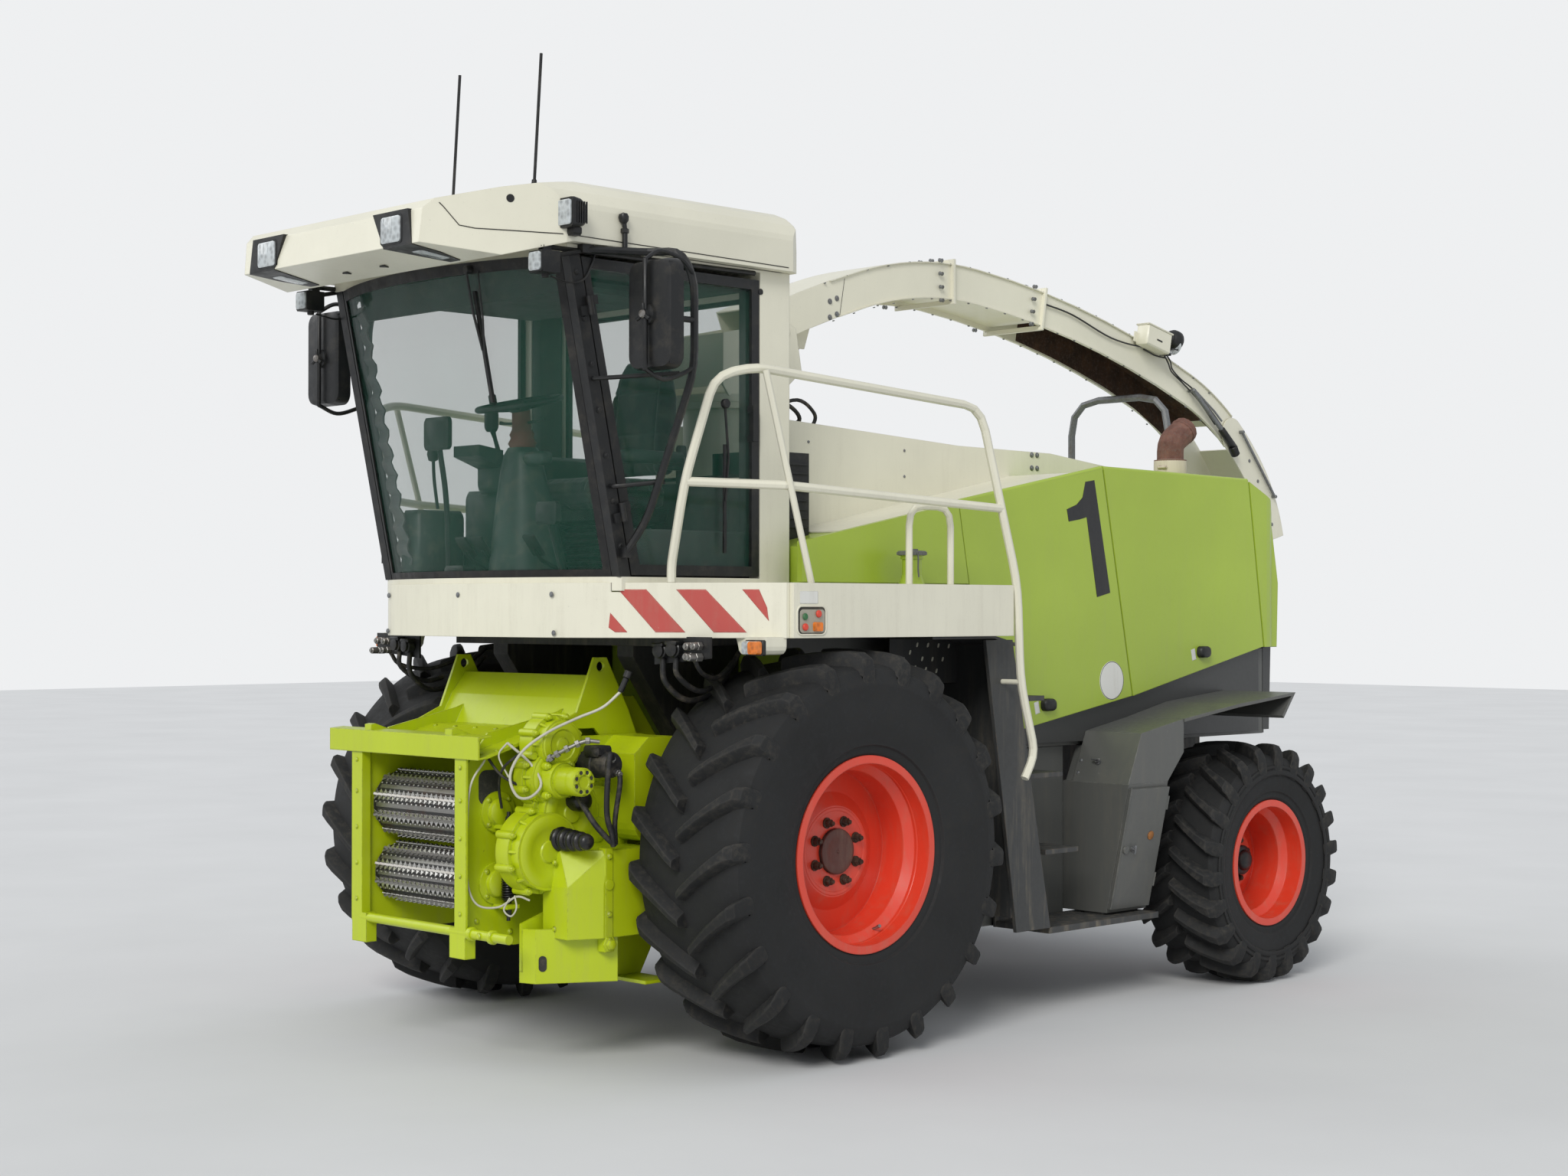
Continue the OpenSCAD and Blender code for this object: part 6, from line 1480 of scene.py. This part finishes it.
def spout_at(y, up):
    """(y, z) of the point that lies up from the middle line, square to it."""
    z, a = on_spout(CENTRE, y)
    a = radians(a)
    return y - up * sin(a), z + up * cos(a)


def along_spout(section, y0=2.93, y1=4.43, n=24):
    """Rings for a lining that follows the spout; section is [(x, up)]."""
    return [[(x, *spout_at(y0 + (y1 - y0) * i / n, h)) for x, h in section] for i in range(n + 1)]


bol = Piece("spout_bolts", "spout", "zinc")
for s in both(bol):
    for yc in (1.850, 2.605):
        for h in (-0.105, -0.035, 0.035, 0.105):
            y, z = spout_at(yc, h)
            for e in (-1, 1):
                bol.bolt((0.206, y + 0.0085 * e, z), (0, e, 0), 0.008, 0.007)
        for x in (0.06, 0.14):
            y, z = spout_at(yc, 0.109)
            for e in (-1, 1):
                bol.bolt((x, y + 0.0085 * e, z), (0, e, 0), 0.008, 0.007)
    for i in range(22):
        y = 1.02 + 0.152 * i
        if min(abs(y - 1.85), abs(y - 2.6)) < 0.05 or 3.66 < y < 3.90:
            continue
        for h, e in ((0.0945, 1), (-0.0945, -1)):
            yy, zz = spout_at(y, h)
            a = radians(on_spout(CENTRE, y)[1])
            bol.bolt((0.196, yy, zz), (0, -sin(a) * e, cos(a) * e), 0.0065, 0.005, False)
    for yy, zz in ((1.03, 3.42), (1.08, 3.44), (1.03, 3.50), (1.08, 3.52)):
        bol.bolt((0.190, yy, zz), X, 0.011, 0.008)
bol.done()

liner = Piece("spout_liner", "spout", "rust_dark", slot="rusty_pipe")
liner.skin(along_spout([(-0.1805, 0.083), (0.1805, 0.083), (0.1805, 0.0865), (-0.1805, 0.0865)]))
for x in (-0.1815, 0.1800):
    liner.skin(along_spout([(x, -0.085), (x + 0.0018, -0.085), (x + 0.0018, 0.083), (x, 0.083)]))
liner.done()

cam = Piece("spout_camera", "spout", "black")
y, z = spout_at(3.845, 0.095)
cam.turn = placed((0, y, z), -20)
cam.box((-0.05, -0.045, 0.0), (0.05, 0.055, 0.075), 0.012)
cam.box((-0.058, 0.050, 0.055), (0.058, 0.085, 0.079), 0.008)
cam.rod((0, 0.055, 0.035), (0, 0.072, 0.030), 0.026, 18, 0.004)
cam.turn = Matrix.Identity(4)
cam.lines(6, (0.005, (0.03, 3.83, 3.50), (0.10, 3.72, 3.535), (0.197, 3.60, 3.475), (0.204, 3.30, 3.50),
              (0.204, 2.95, 3.60), (0.204, 2.70, 3.64)),
          (0.005, (0.235, 3.77, 3.42), (0.215, 3.70, 3.43), (0.206, 3.60, 3.46)))
cam.done()
lmp = Piece("spout_end_lamp", "spout", "lens")
lmp.lathe((0.235, 3.86, 3.486), (0, 1, -0.36), [(0.044, -0.004), (0.044, 0.004), (0.030, 0.010), (0.0, 0.013)],
          24, True)
lmp.done()


# Deck, exhaust, filler, boxes and small parts of the body
EX = 0.60   # x of the pipe
ex = Piece("exhaust_skin", "chassis", "rust")
ex.lathe((EX, 3.441, 2.9555), (0, 0.55, 0.40), [(0.0765, -0.02), (0.0775, 0.0), (0.0755, 0.003), (0.071, 0.0),
                                                (0.070, -0.015)], 32)
ex.done()
# Dark disc just inside the mouth: soot, and painted shade for the pipe's depth
ex = Piece("exhaust_bore", "chassis", "soot")
mouth = unit((0, 0.55, 0.40))
ex.lathe(Vector((EX, 3.45, 2.962)) + mouth * 0.008, mouth, [(0.0, 0.0), (0.069, 0.0)], 32)
ex.done()
ex = Piece("exhaust_collar", "chassis", "flaking")
ex.lathe((EX, 3.32, 2.652), Z, [(0.0905, 0.0), (0.0912, 0.004), (0.0912, 0.124), (0.0895, 0.131),
                                (0.080, 0.1345), (0.078, 0.136)], 40)
ex.rod((EX - 0.015, 3.225, 2.742), (EX + 0.045, 3.225, 2.742), 0.008, 10, 0.002)
ex.done()

CAP_X, CAP_Y = 1.15, 0.595
cap = Piece("filler_cap", "chassis", "cap_grey")
cap.lathe((CAP_X, CAP_Y, 2.200), Z, [(0.060, 0.0), (0.068, 0.002), (0.068, 0.016), (0.064, 0.021),
                                     (0.030, 0.023), (0.028, 0.030), (0.0, 0.031)], 36)
for dx, dy in circle(18, 0.0675):
    cap.rod((CAP_X + dx, CAP_Y + dy, 2.203), (CAP_X + dx, CAP_Y + dy, 2.215), 0.003, 6)
cap.lines(6, (0.004, (1.205, 0.57, 2.215), (1.222, 0.56, 2.19), (1.212, 0.57, 2.14), (1.212, 0.575, 2.10)))
cap.done()

# The front decks climb by this much over this run
DECK_RISE, DECK_RUN = 0.445, 2.172
tread = Piece("deck_tread_pattern", "chassis", "cream")
slope = atan2(DECK_RISE, DECK_RUN)
up_deck = Vector((0, cos(slope), sin(slope)))
for s in both(tread):
    for i in range(40):
        for j in range(11):
            # Small raised lozenges, turned by a quarter from row to row
            y = 0.50 + i * 0.0405
            c = Vector((0.475 + j * 0.048 + (0.024 if i % 2 else 0), y,
                        2.215 + DECK_RISE * y / DECK_RUN + 0.0055))
            e, f = (X, up_deck) if i % 2 else (up_deck, X)
            e, f = e * 0.015, f * 0.0045
            tread.add([c - e, c - f, c + e, c + f, c + Vector((0, 0, 0.0028))],
                      [[0, 1, 4], [1, 2, 4], [2, 3, 4], [3, 0, 4]])
tread.done(180)

bol = Piece("body_bolts", "chassis", "zinc")
for s in both(bol):
    for y, z in ((2.296, 2.775), (2.340, 2.775), (2.296, 2.705), (2.340, 2.705)):
        bol.bolt((0.4502, y, z), X, 0.011, 0.009)
    for y, z in ((0.62, 2.76), (0.62, 2.52), (1.30, 2.62), (1.30, 2.75)):
        bol.rivet((0.4502, y, z), X, 0.008)
    # Locker latch, screws beside it
    n = unit((0, -0.251, 0.108))
    bol.lathe((1.125, 2.004, 1.188), n, [(0.016, 0), (0.016, 0.004), (0.009, 0.006), (0.009, 0.020),
                                         (0.0, 0.020)], 16, True)
    bol.box((1.098, 1.978, 1.196), (1.152, 1.990, 1.207), 0.002)
    for z in (1.13, 1.19):
        bol.bolt((1.012, 1.964 + 0.43 * (z - 1.086), z), n, 0.007, 0.005)
bol.done()
for n, s in SIDES:
    # Lock and latch stand square to the leaning door
    face = Vector((0.977, 0, -0.211))
    lk = Piece("box_lock_" + n, "box_door_" + n, "brass", s)
    lk.lathe((1.3112, 2.187, 0.820), face, [(0.023, -0.002), (0.023, 0.003), (0.018, 0.005), (0.0, 0.005)], 24,
             True)
    lk.done()
    lk = Piece("box_latch_" + n, "box_door_" + n, "zinc", s)
    lk.lathe((1.2980, 2.058, 0.759), face, [(0.015, -0.002), (0.015, 0.004), (0.008, 0.005), (0.008, 0.018),
                                            (0.0, 0.018)], 16, True)
    lk.turn = placed((1.3145, 2.058, 0.755), 12, "Y")
    lk.box((-0.004, -0.006, -0.022), (0.004, 0.006, 0.024), 0.002)
    lk.done()
    # Folded edge along the door
    lk = Piece("box_door_edge_" + n, "box_door_" + n, "dark", s)
    lk.tube([(1.2325, 1.9640, 0.460), (1.3655, 1.9640, 1.070)], 0.0055, 8)
    lk.done()

# Back sheet of the step well with its floor strips, in dark paint that is painted shade for the well's depth,
# and the perforated sheet behind the front wheel
for n, s in SIDES:
    sh = Piece("step_well_sheet_" + n, "chassis", "dark", s)
    sh.prism([(1.16, 0.405), (1.9585, 0.405), (1.9585, 1.262), (1.16, 1.262)], 0.930, 0.934)
    sh.box((0.934, 1.40, 0.405), (0.965, 1.9585, 0.409))
    sh.box((1.06, 1.975, 0.4285), (1.17, 2.265, 0.4405))
    sh.done()
for n, s in SIDES:
    sh = Piece("perforated_sheet_" + n, "chassis", "guard", s)
    sh.prism([(0.66, 1.60), (1.334, 1.60), (1.334, 1.862), (0.66, 1.862)], 0.945, 0.949)
    sh.done()
perf = Piece("perforations", "chassis", "cream", slot="dark_sheet")
for s in both(perf):
    for y, z in ((0.85, 1.785), (0.925, 1.783), (1.0, 1.780), (1.074, 1.777), (0.80, 1.75), (0.754, 1.716),
                 (0.885, 1.718), (0.957, 1.716), (1.03, 1.714), (0.835, 1.676), (0.91, 1.668), (0.986, 1.659)):
        perf.skin([[(x, y + q[0] * 0.9 + q[1] * 0.3, z + q[1]) for q in rounded(0.013, 0.022, 0.006, 3)]
                   for x in (0.9495, 0.9512)])
perf.done()

# Hoses from the spout's tower down into the beam
hos = Piece("tower_hoses", "chassis", "hose")
hos.lines(10, (0.0105, (0.20, 0.505, 2.925), (0.235, 0.60, 2.975), (0.24, 0.72, 2.94), (0.23, 0.775, 2.885),
               (0.20, 0.70, 2.848), (0.19, 0.62, 2.845)),
          (0.0095, (0.17, 0.60, 2.93), (0.19, 0.80, 2.99), (0.19, 0.92, 2.93), (0.18, 0.915, 2.87),
           (0.17, 0.84, 2.835)),
          (0.019, (0.21, 0.52, 2.92), (0.225, 0.59, 2.93), (0.225, 0.645, 2.88), (0.22, 0.66, 2.845)),
          (0.012, (-0.20, 0.52, 2.92), (-0.23, 0.62, 2.95), (-0.23, 0.70, 2.90), (-0.21, 0.72, 2.845)))
hos.rod((0.0, 1.52, 2.80), (0.0, 1.52, 2.825), 0.022, 16, 0.004)
hos.done(60)

# Spout: seam, box, work lamp, cables to the end, flap drive
sm = Piece("spout_seam", "spout", "seam", slot="cream_paint")
for s in both(sm):
    a, b = spout_at(1.16, 0.085), spout_at(1.075, -0.085)
    sm.tube([(0.1903, *a), (0.1903, *b)], 0.0016, 5)
sm.done()
on_box = placed((0.246, *spout_at(3.62, 0.098)), -12)
bx = Piece("spout_box", "spout", "cream")
bx.turn = on_box
bx.box((-0.043, -0.125, -0.035), (0.043, 0.105, 0.085), 0.008)
bx.box((-0.048, -0.130, 0.080), (0.048, 0.110, 0.090), 0.003)
bx.box((-0.043, -0.145, -0.020), (-0.036, -0.120, 0.04))
bx.box((0.0425, -0.04, 0.015), (0.0437, 0.02, 0.024))
bx.done(replaces=("spout_lamp",))
# Black patch on the box's side, painted shade for its slot; the work lamp follows
bx = Piece("spout_box_slot", "spout", "black")
bx.turn = on_box
bx.box((0.0430, -0.035, 0.010), (0.0446, 0.015, 0.019))
bx.turn = Matrix.Identity(4)
c = Vector((0.215, *spout_at(3.80, 0.205)))
d = unit((0, 1, -0.18))
bx.lathe(c, d, [(0.0, -0.050), (0.022, -0.049), (0.040, -0.042), (0.043, -0.034), (0.047, -0.032),
                (0.050, -0.024), (0.054, -0.020), (0.058, -0.008), (0.061, -0.004), (0.061, 0.028),
                (0.057, 0.034), (0.055, 0.030)], 32)
for k in range(3):
    bx.lathe(c - d * (0.046 - 0.004 * k), d, [(0.020 + 0.010 * k, 0), (0.022 + 0.010 * k, -0.004),
                                              (0.024 + 0.010 * k, 0)], 28)
q = Vector((0.205, *spout_at(3.77, 0.100)))
bx.tube([q, q + Vector((0, 0.01, 0.05)), c - Vector((0, 0, 0.055))], 0.009, 8)
bx.box(q - Vector((0.025, 0.03, 0.008)), q + Vector((0.025, 0.03, 0.006)))
bx.lines(6, (0.0045, (0.255, *spout_at(3.715, 0.09)), (0.27, 3.79, 3.47), (0.262, 3.86, 3.475),
             (0.235, 3.875, 3.54), (0.22, 3.83, 3.56)),
         (0.0045, (0.255, *spout_at(3.715, 0.08)), (0.262, 3.78, 3.40), (0.225, 3.85, 3.36),
          (0.212, 3.95, 3.31), (0.21, 4.08, 3.255), (0.222, 4.25, 3.13), (0.226, 4.42, 2.99)),
         (0.0045, (0.25, *spout_at(3.715, 0.07)), (0.256, 3.77, 3.385), (0.214, 3.86, 3.345),
          (0.209, 3.97, 3.29), (0.212, 4.12, 3.20), (0.222, 4.28, 3.06)))
bx.rod((0.228, 4.335, 3.035), (0.228, 4.475, 2.925), 0.021, 16, 0.004)
bx.rod((0.228, 4.45, 2.935), (0.228, 4.485, 2.885), 0.026, 16, 0.004)
for k in range(5):
    a = Vector((0.228, 4.455 + 0.006 * k, 2.93 - 0.009 * k))
    bx.lathe(a, Vector((0, 0.57, -0.82)), [(0.0275, 0), (0.0275, 0.004)], 16, True)
bx.done(45)
lmp = Piece("spout_box_lens", "spout", "lens")
lmp.lathe(c, d, [(0.055, 0.028), (0.05, 0.033), (0.03, 0.039), (0.0, 0.041)], 28)
lmp.done()
ac = Piece("flap_actuator", "spout", "zinc")
ac.rod((0.228, 4.045, 3.255), (0.228, 4.335, 3.035), 0.0135, 14, 0.002)
ac.rod((0.192, 4.055, 3.248), (0.243, 4.055, 3.248), 0.010, 12, 0.002)
ac.tube([(0.196, 4.10, 3.265), (0.205, 4.30, 3.14), (0.214, 4.36, 3.085)], 0.006, 6)
ac.done()
ac = Piece("flap_links", "spout_flap", "zinc")
for s in both(ac):
    ac.rod((0.222, 4.560, 3.030), (0.222, 4.905, 2.650), 0.0085, 12, 0.002)
    for y, z in ((4.560, 3.030), (4.905, 2.650)):
        ac.rod((0.203, y, z), (0.236, y, z), 0.010, 12, 0.002)
    for y, z in ((4.66, 2.86), (4.75, 2.74), (4.83, 2.60), (4.90, 2.48)):
        ac.bolt((0.2042, y, z), X, 0.008, 0.006)
ac.done()


# Seat: base, and cushions blown up as cloth
base = Piece("seat_base", "chassis", "black", slot="seat_fabric")
SEAT_Y = -0.26
base.skin([[(q[0], SEAT_Y + q[1], z) for q in rounded(w, d, 0.04, 4)]
           for z, w, d in ((2.0905, 0.40, 0.36), (2.12, 0.40, 0.36), (2.13, 0.30, 0.28),
                           (2.34, 0.30, 0.28), (2.36, 0.42, 0.40), (2.420, 0.44, 0.42))])
for i in range(6):
    z = 2.15 + i * 0.032
    base.skin([[(q[0], SEAT_Y + q[1], z + k) for q in rounded(0.32 + w, 0.30 + w, 0.05, 4)]
               for k, w in ((0, 0), (0.012, 0.028), (0.024, 0))])
base.box((-0.27, -0.05, 2.44), (-0.235, 0.0, 2.72), 0.008)
base.box((0.235, -0.05, 2.44), (0.27, 0.0, 2.72), 0.008)
base.done(45, replaces=("seat",))


# Half width and depth of a sewn channel
CHANNEL, PRESSED = 0.006, 0.007
# Voxels, pressure and last frame of the swelling
VOXEL, PRESSURE, LAST = 0.0065, 4, 20


def cushion(name, corner, rows, cap, lines):
    """Padded piece: a closed form, swollen as cloth, with its sewn channels pressed in after.

    rows are [(z, middle y, width, depth)], cap is how far a point may move, and lines are the channels
    as (axis, place on it, test of the side).
    """
    p = Piece(name, "chassis", "fabric")
    p.skin([[(q[0], y + q[1], z) for q in rounded(w, d, corner, 6)] for z, y, w, d in rows])
    ob = p.done(180)
    view = bpy.context.view_layer
    ob.select_set(True)
    view.objects.active = ob
    mod = ob.modifiers.new("voxels", "REMESH")
    mod.mode = "VOXEL"
    mod.voxel_size = VOXEL
    mod.use_smooth_shade = True
    view.update()
    me = bpy.data.meshes.new_from_object(ob.evaluated_get(bpy.context.evaluated_depsgraph_get()))
    ob.modifiers.clear()
    ob.data = me
    start = [v.co.copy() for v in me.vertices]
    cl = ob.modifiers.new("cloth", "CLOTH")
    cl.settings.quality = 5
    cl.settings.use_pressure = True
    cl.settings.uniform_pressure_force = PRESSURE
    cl.settings.tension_stiffness = 20
    cl.settings.effector_weights.gravity = 0
    cl.point_cache.frame_start, cl.point_cache.frame_end = 1, LAST
    for f in range(1, LAST + 1):
        bpy.context.scene.frame_set(f)
    new = bpy.data.meshes.new_from_object(ob.evaluated_get(bpy.context.evaluated_depsgraph_get()))
    ob.modifiers.clear()
    for v, a in zip(new.vertices, start):
        d = v.co - a
        if d.length > cap:
            v.co = a + d * (cap / d.length)
    ob.data = new
    bpy.context.scene.frame_set(1)
    me = ob.data
    me.update()
    for v in me.vertices:
        q = v.co + Vector((0, MID_Y, 0))
        k = max(exp(-((q[a] - w) / CHANNEL) ** 2) if ok(q) else 0 for a, w, ok in lines)
        v.co -= v.normal * PRESSED * k
    me.polygons.foreach_set("use_smooth", [True] * len(me.polygons))
    if not me.materials:
        me.materials.append(MAT["fabric"])
    mod = ob.modifiers.new("round", "SUBSURF")
    mod.levels = mod.render_levels = 1


def above(q):
    return q.z > 2.5


def before(q):
    return q.y < -0.05


cushion("seat_cushion", 0.075,
        [(2.424, -0.305, 0.44, 0.42), (2.434, -0.305, 0.485, 0.465), (2.50, -0.305, 0.495, 0.475),
         (2.535, -0.305, 0.475, 0.455), (2.548, -0.305, 0.43, 0.41)], 0.012,
        [(0, -0.15, above), (0, 0.15, above), (1, -0.20, above), (2, 2.485, lambda q: True)])
cushion("seat_backrest", 0.035,
        [(2.575, -0.062, 0.40, 0.05), (2.590, -0.062, 0.435, 0.078), (2.75, -0.052, 0.455, 0.085),
         (2.95, -0.036, 0.44, 0.078), (3.08, -0.020, 0.36, 0.066), (3.13, -0.012, 0.30, 0.056),
         (3.142, -0.010, 0.26, 0.03)], 0.011,
        [(0, -0.145, before), (0, 0.145, before), (2, 2.78, before), (2, 2.98, lambda q: q.y < -0.03)])


# Floor
def make_floor():
    me = bpy.data.meshes.new("floor")
    half = 45
    me.from_pydata([(x * half, y * half, 0) for x, y in ((-1, -1), (1, -1), (1, 1), (-1, 1))], [],
                   [(0, 1, 2, 3)])
    ob = bpy.data.objects.new("floor", me)
    bpy.context.scene.collection.objects.link(ob)
    m = Mat("pale_floor", 0.9)
    m.colour(m.mix(m.span(m.noise(0.6, 4), 0.3, 0.7), (0.66, 0.665, 0.67), (0.70, 0.705, 0.71)))
    m.bump(m.noise(30, 3), 0.05, 0.002)
    me.materials.append(m.m)


make_floor()
